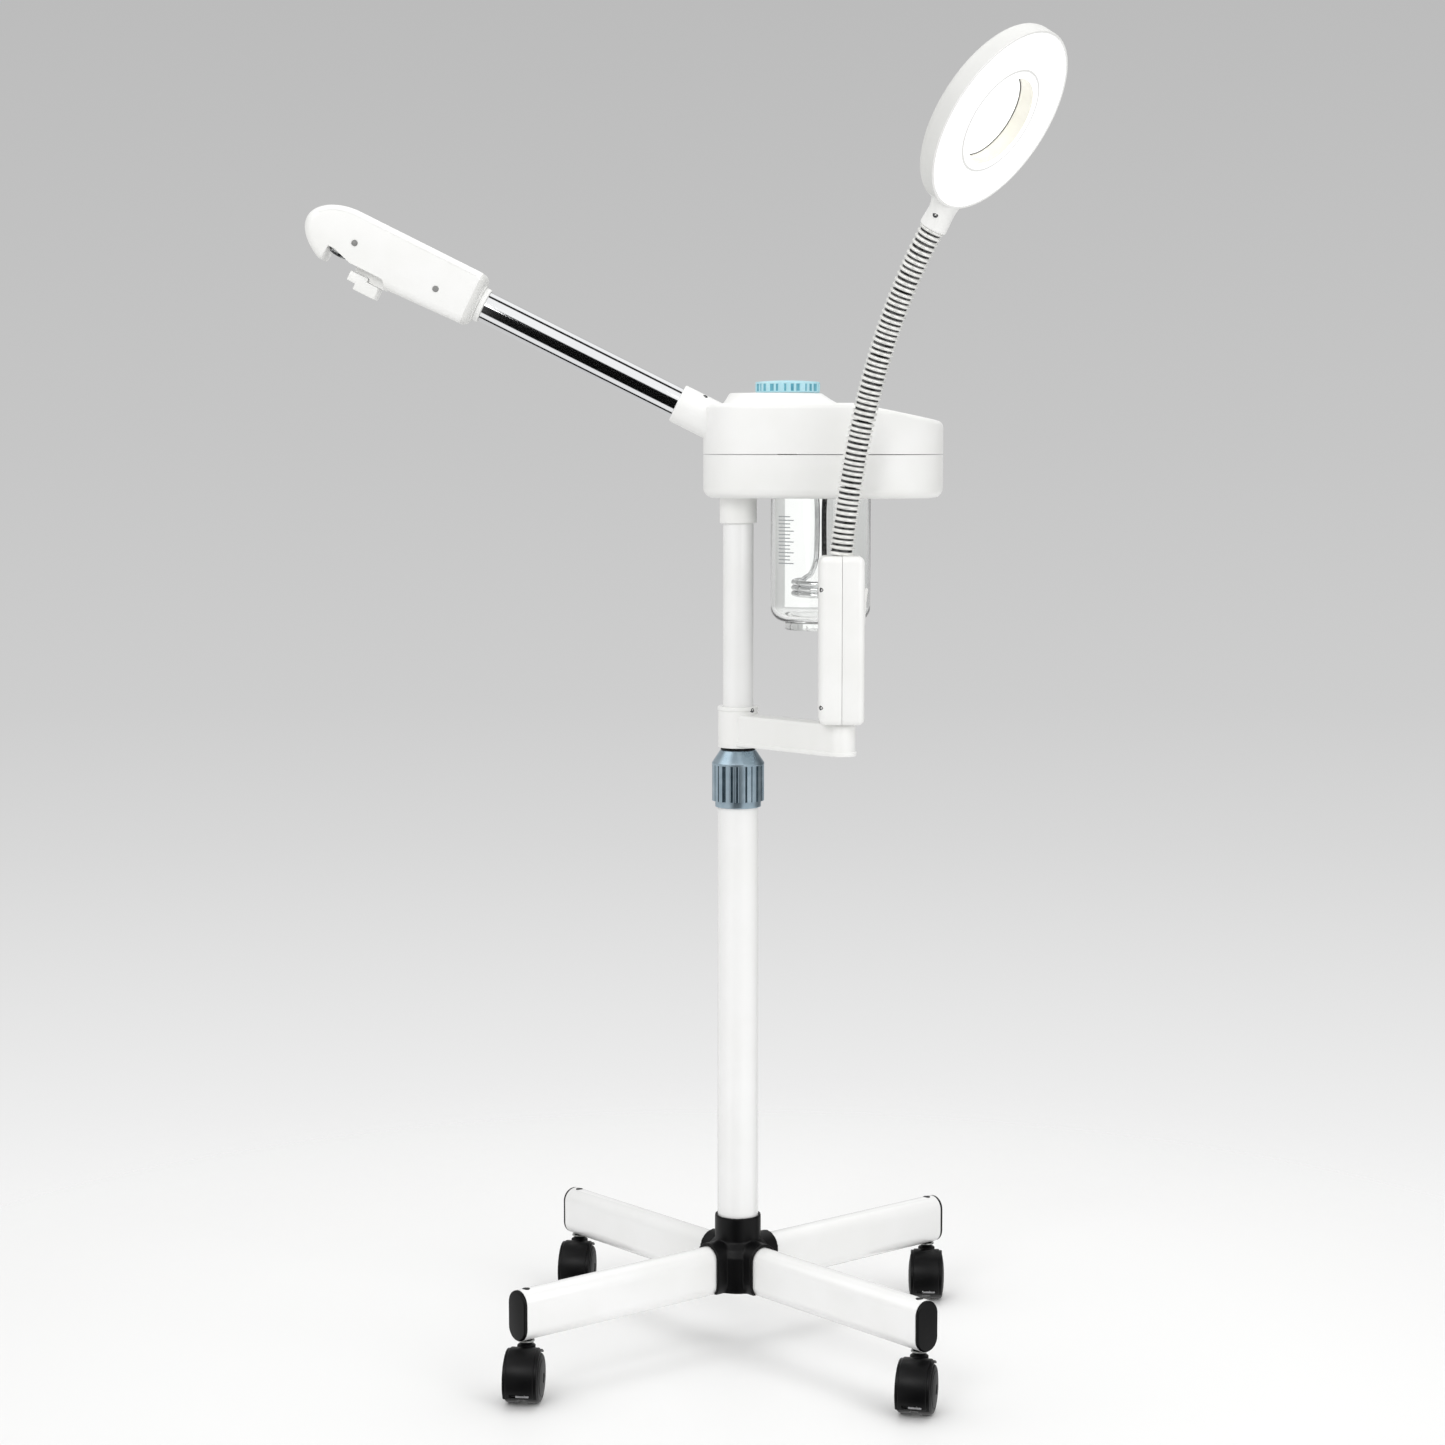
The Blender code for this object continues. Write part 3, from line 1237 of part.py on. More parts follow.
def nozzle_half(name, side):
    place = arm_place(NOZZLE_START)
    upright = place @ frame_of((1, 0, 0), (0, 0, 1), (0, -1, 0), (0, 0, 0))
    half_width = NOZZLE_WIDTH / 2
    body = plate(name, [nozzle_side_view()], -half_width, half_width, WHITE_SHELL, upright)
    rounded(body, NOZZLE_ROUND, 2, math.radians(60))
    bake(body)
    bm = bmesh.new()
    bm.from_mesh(body.data)
    geometry = list(bm.verts) + list(bm.edges) + list(bm.faces)
    # The outline's own Z points to the back.
    bmesh.ops.bisect_plane(
        bm, geom=geometry, plane_co=(0, 0, -side * FIT / 2), plane_no=(0, 0, side), clear_outer=True,
    )
    bm.to_mesh(body.data)
    bm.free()
    walls = body.modifiers.new("walls", "SOLIDIFY")
    walls.thickness = NOZZLE_SHELL
    walls.offset = -1
    walls.use_even_offset = True
    bake(body)
    collar = cylinder(
        f"collar_{name}", NOZZLE_COLLAR_RADIUS, 0, NOZZLE_TUBE_DEPTH, None, arm_turned(NOZZLE_START),
    )
    reach = 2 * NOZZLE_LENGTH
    other_half = block(f"other_{name}", (-reach, -reach, -reach), (reach, reach, reach), None, place)
    other_half.matrix_world = place @ Matrix.Translation((0, side * (FIT / 2 - reach), 0))
    boolean(collar, other_half)
    bake(collar)
    fused(body, collar)
    boolean(body, cylinder(
        f"bore_{name}", TUBE_RADIUS + FIT, -FIT, NOZZLE_TUBE_DEPTH + FIT, None,
        arm_turned(NOZZLE_START),
    ))
    boolean(body, mouth_cutter(name))
    return shade(bake(body))


def mouth_cutter(name):
    # The steam mouth behind the nose lip, and the lower notch of the aroma holder.
    low = -2 * NOZZLE_BELLY
    corner = (AROMA_START + AROMA_ROUND, AROMA_ROOF - AROMA_ROUND)
    outline = [(AROMA_START, low)] + arc(corner, AROMA_ROUND, math.pi, math.pi / 2, 4)
    outline += [(MOUTH_START, AROMA_ROOF), (MOUTH_END - AROMA_ROUND, MOUTH_ROOF)]
    outline += [(MOUTH_END, MOUTH_ROOF), (NOSE_LIP - FIT, low)]
    upright = arm_place(NOZZLE_START) @ frame_of((1, 0, 0), (0, 0, 1), (0, -1, 0), (0, 0, 0))
    return plate(f"mouth_{name}", [outline], -NOZZLE_WIDTH, NOZZLE_WIDTH, None, upright, cutters)


def make_nozzle():
    nozzle_half("nozzle_front", 1)
    nozzle_half("nozzle_back", -1)

    place = arm_place(NOZZLE_START)
    half_width = NOZZLE_WIDTH / 2 - NOZZLE_SHELL - FIT
    roof = MOUTH_ROOF + FIT
    spout_x = (MOUTH_START + MOUTH_END) / 2
    spout = block(
        "nozzle_spout", (MOUTH_START - AROMA_ROUND, -half_width, roof),
        (MOUTH_END, half_width, roof + SPOUT_PLATE), WHITE_SHELL, place, parts,
    )
    spout_place = place @ Matrix.Translation((spout_x, 0, 0))
    pipe = cylinder(
        "pipe", SPOUT_RADIUS, roof - SPOUT_PLATE, roof + SPOUT_LENGTH, None, spout_place, sides=16,
    )
    fused(spout, pipe)
    pipe_bore = SPOUT_RADIUS - SPOUT_WALL
    boolean(spout, cylinder(
        "pipe_bore", pipe_bore, roof - 2 * SPOUT_PLATE, roof + 2 * SPOUT_LENGTH, None, spout_place,
        sides=16,
    ))
    shade(bake(spout))

    holder_half = HOLDER_WIDTH / 2
    start = AROMA_START + 2 * FIT
    end = MOUTH_START - SPOUT_PLATE
    roof = AROMA_ROOF - FIT
    outline = [
        (start, -HOLDER_DROP), (start, roof - AROMA_ROUND), (start + AROMA_ROUND, roof), (end, roof),
        (end, HOLDER_STEP_DROP - HOLDER_DROP), (end - HOLDER_STEP, HOLDER_STEP_DROP - HOLDER_DROP),
        (end - HOLDER_STEP, -HOLDER_DROP),
    ]
    upright = place @ frame_of((1, 0, 0), (0, 0, 1), (0, -1, 0), (0, 0, 0))
    holder = plate("aroma_holder", [outline], -holder_half, holder_half, WHITE_SHELL, upright)
    cup_half = holder_half - HOLDER_CUP_WALL
    cup = block(
        "aroma_cup", (start + AROMA_ROUND, -cup_half, roof - HOLDER_CUP_DEPTH),
        (end - HOLDER_CUP_WALL, cup_half, roof + FIT), None, place,
    )
    boolean(holder, cup)
    bake(holder)


# Lamp bracket and box

def bracket_place():
    return Matrix.Rotation(BRACKET_TURN, 4, "Z")


def arm_outline(half_width):
    tip = arc((BRACKET_REACH, 0), half_width, -math.pi / 2, math.pi / 2, 8)
    return [(0, -half_width)] + tip + [(0, half_width)]


def make_bracket():
    place = bracket_place()
    collar_top = BRACKET_BOTTOM + BRACKET_COLLAR
    rim = BRACKET_COLLAR_RADIUS - BRACKET_LIP
    bracket = turned(
        "bracket",
        [
            (0, collar_top), (rim, collar_top), (BRACKET_COLLAR_RADIUS, collar_top - BRACKET_LIP),
            (BRACKET_COLLAR_RADIUS, BRACKET_BOTTOM), (0, BRACKET_BOTTOM),
        ],
        WHITE_SHELL, place,
    )
    arm = plate(
        "bracket_arm", [arm_outline(BRACKET_WIDTH / 2)], ARM_BOTTOM, ARM_TOP, None, place, cutters,
    )
    lip = plate(
        "bracket_lip", [arm_outline(BRACKET_WIDTH / 2 + BRACKET_LIP)],
        ARM_BOTTOM, ARM_BOTTOM + BRACKET_LIP_HEIGHT, None, place, cutters,
    )
    fused(bracket, arm, lip)
    boolean(bracket, cylinder(
        "bracket_bore", UPPER_POST_RADIUS + FIT, BRACKET_BOTTOM - FIT, collar_top + FIT,
    ))
    at_box = Matrix.Translation((BOX_X, BOX_Y, 0))
    boolean(bracket, cylinder(
        "pivot_bore", PIVOT_RADIUS + FIT, ARM_BOTTOM - FIT, ARM_TOP + FIT, None, at_box, sides=20,
    ))
    shade(bake(bracket))
    head_low = BOX_BOTTOM + BOX_WALL + FIT
    turned(
        "box_pivot",
        [
            (0, head_low + PIVOT_HEAD), (PIVOT_HEAD_RADIUS, head_low + PIVOT_HEAD),
            (PIVOT_HEAD_RADIUS, head_low),
            (PIVOT_RADIUS, head_low), (PIVOT_RADIUS, ARM_BOTTOM), (0, ARM_BOTTOM),
        ],
        STEEL, at_box, sides=20,
    )


def make_box():
    at_box = Matrix.Translation((BOX_X, BOX_Y, 0))
    half_width, half_depth = BOX_WIDTH / 2, BOX_DEPTH / 2
    for name, side in (("lamp_box_left", -1), ("lamp_box_right", 1)):
        shell = block(
            name, (-half_width, -half_depth, BOX_BOTTOM), (half_width, half_depth, BOX_TOP),
            WHITE_SHELL, at_box, parts
        )
        rounded(shell, BOX_ROUND, 2)
        bake(shell)
        bm = bmesh.new()
        bm.from_mesh(shell.data)
        geometry = list(bm.verts) + list(bm.edges) + list(bm.faces)
        bmesh.ops.bisect_plane(
            bm, geom=geometry, plane_co=(side * FIT / 2, 0, 0), plane_no=(-side, 0, 0),
            clear_outer=True,
        )
        bm.to_mesh(shell.data)
        bm.free()
        walls = shell.modifiers.new("walls", "SOLIDIFY")
        walls.thickness = BOX_WALL
        walls.offset = -1
        walls.use_even_offset = True
        bake(shell)
        boolean(shell, cylinder(
            f"pivot_{name}", PIVOT_RADIUS + FIT, BOX_BOTTOM - FIT, BOX_BOTTOM + 2 * BOX_WALL, None,
            at_box, sides=20,
        ))
        boolean(shell, cylinder(
            f"neck_{name}", STUB_RADIUS + FIT, BOX_TOP - 2 * BOX_WALL, BOX_TOP + FIT, None, at_box,
            sides=20,
        ))
        if side > 0:
            switch_half = SWITCH_WIDTH / 2 + FIT
            centre = BOX_BOTTOM + SWITCH_Z
            tall = SWITCH_HEIGHT / 2 + FIT
            boolean(shell, block(
                "switch_hole", (half_width - 2 * BOX_WALL, -switch_half, centre - tall),
                (half_width + FIT, switch_half, centre + tall), None, at_box,
            ))
        shade(bake(shell))

    reach = SWITCH_HEIGHT / 2
    high = SWITCH_AXIS + SWITCH_HIGH
    low = SWITCH_AXIS + SWITCH_LOW
    profile = [
        (high, math.sqrt(reach ** 2 - high ** 2)), (0, reach), (-SWITCH_AXIS, reach - SWITCH_AXIS),
        (-SWITCH_AXIS, SWITCH_AXIS - reach), (0, -reach), (low, -math.sqrt(reach ** 2 - low ** 2)),
        (SWITCH_AXIS + SWITCH_MID, 0),
    ]
    pivot = Vector((BOX_X + half_width - SWITCH_AXIS, BOX_Y, BOX_BOTTOM + SWITCH_Z))
    upright = frame_of((1, 0, 0), (0, 0, 1), (0, -1, 0), pivot)
    plate("lamp_switch", [profile], -SWITCH_WIDTH / 2, SWITCH_WIDTH / 2, WHITE_SHELL, upright)


# Gooseneck and lamp head

NECK_FORWARD = Vector((math.cos(NECK_TURN), math.sin(NECK_TURN), 0))
NECK_SIDE = Vector((-math.sin(NECK_TURN), math.cos(NECK_TURN), 0))


def neck_lean(along):
    share = along / NECK_LENGTH
    bow = (1 - NECK_LEAN_BOW) * share + NECK_LEAN_BOW * share ** 2
    return NECK_LEAN_START + (NECK_LEAN_END - NECK_LEAN_START) * bow


def neck_direction(along):
    lean = neck_lean(along)
    return NECK_FORWARD * math.sin(lean) + Vector((0, 0, math.cos(lean)))


def neck_point(along):
    # Adds up short straight steps from the top of the lamp box.
    steps = 200
    seat = BOX_TOP + FIT + RIB_RADIUS * math.sin(NECK_LEAN_START)
    place = Vector((BOX_X, BOX_Y, seat))
    for step in range(steps):
        place += neck_direction(along * (step + 0.5) / steps) * along / steps
    return place


def neck_frame(along):
    upward = neck_direction(along)
    return frame_of(upward.cross(NECK_SIDE) * -1, NECK_SIDE, upward, neck_point(along))


def bend_places():
    part_length = NECK_LENGTH / NECK_PARTS
    return [part_length * number for number in range(1, NECK_PARTS)]


def make_gooseneck():
    bends = bend_places()
    starts = [0.0] + [bend + BEND_GAP / 2 for bend in bends]
    ends = [bend - BEND_GAP / 2 for bend in bends] + [NECK_LENGTH]
    for number, (start, end) in enumerate(zip(starts, ends), 1):
        points, radii = [], []
        ribs = RIBS_PER_PART
        for index in range(2 * ribs + 1):
            along = start + (end - start) * index / (2 * ribs)
            points.append(neck_point(along))
            radii.append(GROOVE_RADIUS if index % 2 == 0 else RIB_RADIUS)
        part = tube_along(f"gooseneck_{number}", points, RIB_RADIUS, STEEL, 2, radii)
        additions = []
        if number < NECK_PARTS:
            ball = bmesh.new()
            bmesh.ops.create_uvsphere(ball, u_segments=8, v_segments=6, radius=BALL_RADIUS)
            additions.append(
                object_from(ball, f"ball_{number}", None, neck_frame(bends[number - 1]), cutters),
            )
        else:
            additions.append(cylinder(
                "upper_stub", STUB_RADIUS, -STUB_LENGTH, STUB_LENGTH, None, neck_frame(NECK_LENGTH),
                sides=16,
            ))
        if number == 1:
            at_box = Matrix.Translation((BOX_X, BOX_Y, BOX_TOP))
            additions.append(cylinder(
                "lower_stub", STUB_RADIUS, -STUB_LENGTH, STUB_LENGTH / 2, None, at_box, sides=16,
            ))
        fused(part, *additions)
        if number > 1:
            cup = bmesh.new()
            bmesh.ops.create_uvsphere(cup, u_segments=8, v_segments=6, radius=BALL_RADIUS + FIT)
            boolean(
                part, object_from(cup, f"cup_{number}", None, neck_frame(bends[number - 2]), cutters),
            )
        bore_start = neck_point(start) - neck_direction(start) * 2 * STUB_LENGTH
        bore_end = neck_point(end) + neck_direction(end) * 2 * STUB_LENGTH
        middle = [neck_point(start + (end - start) * share) for share in (0, 0.5, 1)]
        bore = tube_along(
            f"bore_{number}", [bore_start] + middle + [bore_end], NECK_BORE, None, 1, None, cutters,
        )
        bore.hide_render = True
        bore.display_type = "WIRE"
        boolean(part, bore)
        part = shade(bake(part))
        hinge = neck_point(bends[number - 2]) if number > 1 else Vector((BOX_X, BOX_Y, BOX_TOP))
        part.data.transform(Matrix.Translation(-hinge))
        part.location = hinge


def lamp_place():
    # Z looks out of the lit face, and Y points away from the neck.
    upward = neck_direction(NECK_LENGTH)
    facing = NECK_FORWARD * math.cos(NECK_LEAN_END) - Vector((0, 0, math.sin(NECK_LEAN_END)))
    centre = neck_point(NECK_LENGTH) + upward * LAMP_NECK_REACH
    return frame_of(upward.cross(facing), upward, facing, centre)


def make_lamp():
    place = lamp_place()
    front, back = LAMP_THICKNESS / 2, -LAMP_THICKNESS / 2
    ring_inner = LENS_BORE + LENS_RING_WALL + FIT
    wall_inner = ring_inner + LAMP_WALL
    outer_wall = LAMP_RADIUS - LAMP_WALL
    ledge = front - DIFFUSER_INSET - DIFFUSER - FIT
    floor = back + LAMP_WALL
    head = turned(
        "lamp_head",
        [
            (outer_wall, front), (LAMP_RADIUS, front), (LAMP_RADIUS, back + LAMP_BACK_ROUND),
            (LAMP_RADIUS - 0.3 * LAMP_BACK_ROUND, back + 0.3 * LAMP_BACK_ROUND),
            (LAMP_RADIUS - LAMP_BACK_ROUND, back), (ring_inner, back), (ring_inner, front),
            (wall_inner, front),
            (wall_inner, ledge), (wall_inner + LAMP_LEDGE, ledge), (wall_inner + LAMP_LEDGE, floor),
            (LAMP_RADIUS - LAMP_BACK_ROUND, floor),
            (outer_wall - LAMP_LEDGE, floor + LAMP_BACK_ROUND / 2),
            (outer_wall - LAMP_LEDGE, ledge), (outer_wall, ledge),
        ],
        WHITE_SHELL, place, sides=LAMP_SIDES,
    )
    # The neck flares to the ring in a hollow curve, and grows flatter on its way.
    bm = bmesh.new()
    loops = []
    for share in (0, 0.4, 0.75, 1):
        wide = LAMP_NECK_RADIUS + (LAMP_NECK_FLARE - LAMP_NECK_RADIUS) * share ** 3
        thick = LAMP_NECK_RADIUS + ((LAMP_THICKNESS - LAMP_WALL) / 2 - LAMP_NECK_RADIUS) * share
        level = (LAMP_NECK_REACH - LAMP_NECK_ROOT - FIT) * share
        points = [bm.verts.new(
            (wide * x, thick * y, level),
        ) for x, y in arc((0, 0), 1, 0, 2 * math.pi, 20)[:-1]]
        loops.append([bm.edges.new((a, b)) for a, b in zip(points, points[1:] + points[:1])])
    for lower, upper in zip(loops, loops[1:]):
        bmesh.ops.bridge_loops(bm, edges=lower + upper)
    bmesh.ops.holes_fill(bm, edges=bm.edges)
    bmesh.ops.recalc_face_normals(bm, faces=bm.faces)
    along_neck = place @ frame_of((1, 0, 0), (0, 0, -1), (0, 1, 0), (0, FIT - LAMP_NECK_REACH, 0))
    neck = object_from(bm, "lamp_neck", None, along_neck, cutters)
    root = LAMP_RADIUS - LAMP_WALL / 2
    boolean(neck, cylinder(
        "neck_root", root, -LAMP_THICKNESS, LAMP_THICKNESS, None, place, sides=LAMP_SIDES,
    ))
    bake(neck)
    fused(head, neck)
    boolean(head, cylinder(
        "neck_socket", STUB_RADIUS + FIT, -FIT, STUB_LENGTH + FIT, None, neck_frame(NECK_LENGTH),
        sides=16,
    ))
    shade(bake(head))

    turned(
        "lamp_diffuser",
        [
            (wall_inner + FIT, front - DIFFUSER_INSET), (outer_wall - FIT, front - DIFFUSER_INSET),
            (outer_wall - FIT, ledge + FIT), (wall_inner + FIT, ledge + FIT),
        ],
        DIFFUSER_WHITE, place, sides=LAMP_SIDES,
    )
    board_low = floor + FIT
    board_inner = wall_inner + LAMP_LEDGE + FIT
    board_outer = LAMP_RADIUS - LAMP_BACK_ROUND - FIT
    turned(
        "led_board",
        [
            (board_inner, board_low + LED_BOARD), (board_outer, board_low + LED_BOARD),
            (board_outer, board_low), (board_inner, board_low),
        ],
        BOARD_GREEN, place, sides=LAMP_SIDES,
    )
    ring_outer = LENS_BORE + LENS_RING_WALL
    ledge_top = back + LENS_LEDGE
    turned(
        "lens_ring",
        [
            (LENS_BORE, front), (ring_outer, front), (ring_outer, back), (LENS_BORE - LENS_LEDGE, back),
            (LENS_BORE - LENS_LEDGE, ledge_top), (LENS_BORE, ledge_top),
        ],
        WHITE_SHELL, place, sides=LAMP_SIDES,
    )
    lens_radius = LENS_BORE - FIT
    edge_low = ledge_top + FIT
    edge_high = edge_low + LENS_EDGE
    crown = [
        (lens_radius * math.sin(step * math.pi / 4), LENS_CROWN * (1 - math.sin(step * math.pi / 4) ** 2))
        for step in range(3)
    ]
    clear = (LENS_BORE - LENS_LEDGE - FIT) / lens_radius
    front_face = [(radius, edge_high + rise) for radius, rise in crown]
    back_face = [(radius * clear, edge_low - rise) for radius, rise in reversed(crown)]
    lens = front_face + [(lens_radius, edge_low)] + back_face
    turned("magnifier_lens", lens, GLASS, place, sides=LAMP_SIDES)


# Joints: each piece hangs from what carries it, and each moving group from a point on its own axis.

def pivot(name, place):
    empty = bpy.data.objects.new(name, None)
    parts.objects.link(empty)
    empty.location = place
    return name


def carry(carrier, *names):
    bpy.context.view_layer.update()
    holder = bpy.data.objects[carrier]
    for name in names:
        body = bpy.data.objects[name]
        body.parent = holder
        body.matrix_parent_inverse = holder.matrix_world.inverted()


def hang_pieces():
    for number in range(1, LEG_COUNT + 1):
        carry("base_hub", f"leg_{number}", f"leg_cap_{number}", f"caster_frame_{number}")
        carry(f"caster_frame_{number}", f"caster_wheel_{number}a", f"caster_wheel_{number}b")
    carry("base_hub", "hub_bolt", "lower_post", "lock_collar", "post_glide")
    head = pivot("head_pivot", (0, 0, UPPER_POST_BOTTOM))
    carry("post_glide", head)
    carry(head, "upper_post", "housing_upper", "housing_lower", "jar_collar", "control_board")
    carry(head, "power_inlet", "power_button", "ozone_button", "fill_funnel", "cap_gasket")
    carry(head, "heater_flange", "heater_coil", "jar_seal", "steam_tube", "bracket")
    carry("cap_gasket", "fill_cap")
    carry("jar_seal", "jar")
    nozzle = pivot("nozzle_pivot", arm_place(NOZZLE_START).translation)
    carry("steam_tube", nozzle)
    carry(nozzle, "nozzle_front", "nozzle_back", "nozzle_spout", "aroma_holder")
    box = pivot("box_swivel", (BOX_X, BOX_Y, BOX_BOTTOM))
    carry("bracket", "box_pivot", box)
    carry(box, "lamp_box_left", "lamp_box_right", "lamp_switch", "gooseneck_1")
    for number in range(1, NECK_PARTS):
        carry(f"gooseneck_{number}", f"gooseneck_{number + 1}")
    carry(f"gooseneck_{NECK_PARTS}", "lamp_head", "lamp_diffuser", "led_board", "lens_ring")
    carry("lens_ring", "magnifier_lens")


for leg_number in range(LEG_COUNT):
    make_leg(leg_number)
make_hub()
make_casters()
make_posts()
make_housing()
make_inlet()
make_board()
make_buttons()
make_filler()
make_jar()
make_coil()
make_steam_tube()
make_nozzle()
make_bracket()
make_box()
make_gooseneck()
make_lamp()
hang_pieces()
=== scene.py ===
import math

import bmesh
import bpy
from mathutils import Matrix, Vector


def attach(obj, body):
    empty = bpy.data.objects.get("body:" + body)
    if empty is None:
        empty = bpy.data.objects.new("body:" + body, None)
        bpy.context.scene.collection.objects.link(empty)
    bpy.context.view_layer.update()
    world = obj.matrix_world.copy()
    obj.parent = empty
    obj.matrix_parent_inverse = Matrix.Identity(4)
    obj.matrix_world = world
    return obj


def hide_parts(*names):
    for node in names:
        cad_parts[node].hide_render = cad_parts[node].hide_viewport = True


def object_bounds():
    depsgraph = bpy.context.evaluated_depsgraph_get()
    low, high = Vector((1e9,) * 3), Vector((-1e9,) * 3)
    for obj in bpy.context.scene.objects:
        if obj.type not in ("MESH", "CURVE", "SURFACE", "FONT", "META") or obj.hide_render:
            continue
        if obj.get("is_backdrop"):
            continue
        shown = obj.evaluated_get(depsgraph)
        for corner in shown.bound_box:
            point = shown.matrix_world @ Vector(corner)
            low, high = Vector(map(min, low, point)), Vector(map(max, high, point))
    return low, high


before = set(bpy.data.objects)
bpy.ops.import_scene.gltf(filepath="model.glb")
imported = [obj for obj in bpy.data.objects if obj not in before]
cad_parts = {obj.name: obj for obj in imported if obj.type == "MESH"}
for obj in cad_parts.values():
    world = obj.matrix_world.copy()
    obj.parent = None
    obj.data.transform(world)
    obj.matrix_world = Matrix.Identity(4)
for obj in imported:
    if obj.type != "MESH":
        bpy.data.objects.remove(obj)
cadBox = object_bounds()
scene = bpy.context.scene
mm = 0.001  # shapes are drawn in millimetres and scaled once, in toPiece
across, inward, upward = Vector((1, 0, 0)), Vector((0, 1, 0)), Vector((0, 0, 1))
print("frame loaded")


# Materials

def linear(hexText):
    shares = [int(hexText[spot:spot + 2], 16) / 255 for spot in (1, 3, 5)]
    return (*[s / 12.92 if s <= 0.04045 else ((s + 0.055) / 1.055) ** 2.4 for s in shares], 1.0)


def addNode(tree, kind, settings=None, links=None):
    node = tree.nodes.new(kind)
    for name, value in (settings or {}).items():
        if isinstance(name, int) or name in node.inputs:
            node.inputs[name].default_value = value
        else:
            setattr(node, name, value)
    for name, source in (links or {}).items():
        tree.links.new(source, node.inputs[name])
    return node


def setStops(ramp, stops):
    while len(ramp.elements) < len(stops):
        ramp.elements.new(0.5)
    for stop, (place, tone) in zip(ramp.elements, stops):
        stop.position, stop.color = place, linear(tone)


def surface(name, look):
    # two close tones, a gloss that drifts a little, and a grain, all sized in millimetres;
    # a grain under 1 mm is coarser than the real one, which is too fine to show
    material = bpy.data.materials.new(name)
    material.use_nodes = True
    tree = material.node_tree
    shader = tree.nodes["Principled BSDF"]
    spot = {"Vector": addNode(tree, "ShaderNodeTexCoord").outputs["Object"]}
    drift = addNode(tree, "ShaderNodeTexNoise", {"Scale": 1 / (look["drift"] * mm), "Detail": 3.0}, spot)
    tones = addNode(tree, "ShaderNodeValToRGB", None, {"Fac": drift.outputs["Fac"]})
    setStops(tones.color_ramp, list(zip((0.35, 0.65), look["tones"])))
    low, high = look["rough"]
    gloss = addNode(
        tree, "ShaderNodeMapRange", {"To Min": low, "To Max": high}, {"Value": drift.outputs["Fac"]},
    )
    grain = addNode(tree, "ShaderNodeTexNoise", {"Scale": 1 / (look["grain"] * mm), "Detail": 2.0}, spot)
    relief = {"Strength": 1.0, "Distance": look["depth"] * mm}
    bump = addNode(tree, "ShaderNodeBump", relief, {"Height": grain.outputs["Fac"]})
    tree.links.new(tones.outputs["Color"], shader.inputs["Base Color"])
    tree.links.new(gloss.outputs["Result"], shader.inputs["Roughness"])
    tree.links.new(bump.outputs["Normal"], shader.inputs["Normal"])
    for socket, value in look.get("sockets", {}).items():
        shader.inputs[socket].default_value = value
    return material


# bright white shell with a soft sheen and a barely visible moulded grain
whiteAbs = surface("ABS, injection moulded, fine texture", {
    "tones": ("#F1F1EF", "#F5F5F4"), "drift": 55, "rough": (0.3, 0.4), "grain": 0.8, "depth": 0.004,
    "sockets": {"IOR": 1.53},
})
# glossy white tube, slightly wavy in its reflections like sprayed enamel
whiteEnamel = surface("steel tube, sprayed white enamel", {
    "tones": ("#F2F2F1", "#F6F6F6"), "drift": 70, "rough": (0.16, 0.26), "grain": 3.2, "depth": 0.006,
    "sockets": {"IOR": 1.5, "Coat Weight": 0.3, "Coat Roughness": 0.08},
})
# near black with a grey satin bloom on its rounded edges
blackNylon = surface("glass filled nylon, moulded satin black", {
    "tones": ("#070708", "#0B0B0C"), "drift": 24, "rough": (0.32, 0.44), "grain": 0.7, "depth": 0.008,
    "sockets": {"IOR": 1.53, "Specular IOR Level": 0.18},
})
# dark grey and duller than the hoods beside it
wheelPolyurethane = surface("polyurethane, cast wheel, lightly scuffed", {
    "tones": ("#0D0D0E", "#141415"), "drift": 9, "rough": (0.36, 0.52), "grain": 1.4, "depth": 0.01,
    "sockets": {"IOR": 1.49, "Specular IOR Level": 0.28},
})
# grey bar at the foot of the hood, its pale tone a painted highlight for the light caught on the lever
barHighlightNylon = surface("nylon, pale painted highlight", {
    "tones": ("#7E7E80", "#97979A"), "drift": 5, "rough": (0.4, 0.55), "grain": 0.6, "depth": 0.02,
})
# steel blue with a metallic sheen, dark towards its sides
collarBlue = surface("polypropylene, metallic blue grey, moulded", {
    "tones": ("#98ADBA", "#ADBFCA"), "drift": 12, "rough": (0.25, 0.32), "grain": 0.35, "depth": 0.004,
    "sockets": {"Metallic": 0.8, "IOR": 1.49},
})
# the same plastic in the flutes, painted nearly black blue as shade
collarShade = surface("polypropylene, blue grey, painted flute shade", {
    "tones": ("#2A3B45", "#40535E"), "drift": 6, "rough": (0.3, 0.42), "grain": 0.35, "depth": 0.004,
    "sockets": {"Metallic": 0.5, "IOR": 1.49},
})
# mirror bright with sharp dark and white bands
chrome = surface("steel, chrome plated and polished", {
    "tones": ("#EDEEF0", "#F3F4F5"), "drift": 90, "rough": (0.08, 0.11), "grain": 6, "depth": 0.002,
    "sockets": {"Metallic": 1.0},
})
# bright tube with dark streaks along it
heaterSteel = surface("steel tube, drawn, bent and bright", {
    "tones": ("#DCDDDE", "#F2F2F3"), "drift": 14, "rough": (0.08, 0.16), "grain": 0.8, "depth": 0.003,
    "sockets": {"Metallic": 1.0},
})
# pale grey metal, duller than the chrome
zincSteel = surface("steel, zinc plated", {
    "tones": ("#B9BAB8", "#CACBC9"), "drift": 6, "rough": (0.24, 0.4), "grain": 0.5, "depth": 0.006,
    "sockets": {"Metallic": 1.0},
})
# pale satin ribs of the wound strip
neckStrip = surface("steel strip, wound and satin nickel plated", {
    "tones": ("#E8E8E5", "#F5F5F2"), "drift": 7, "rough": (0.26, 0.38), "grain": 0.6, "depth": 0.004,
    "sockets": {"Metallic": 0.3},
})
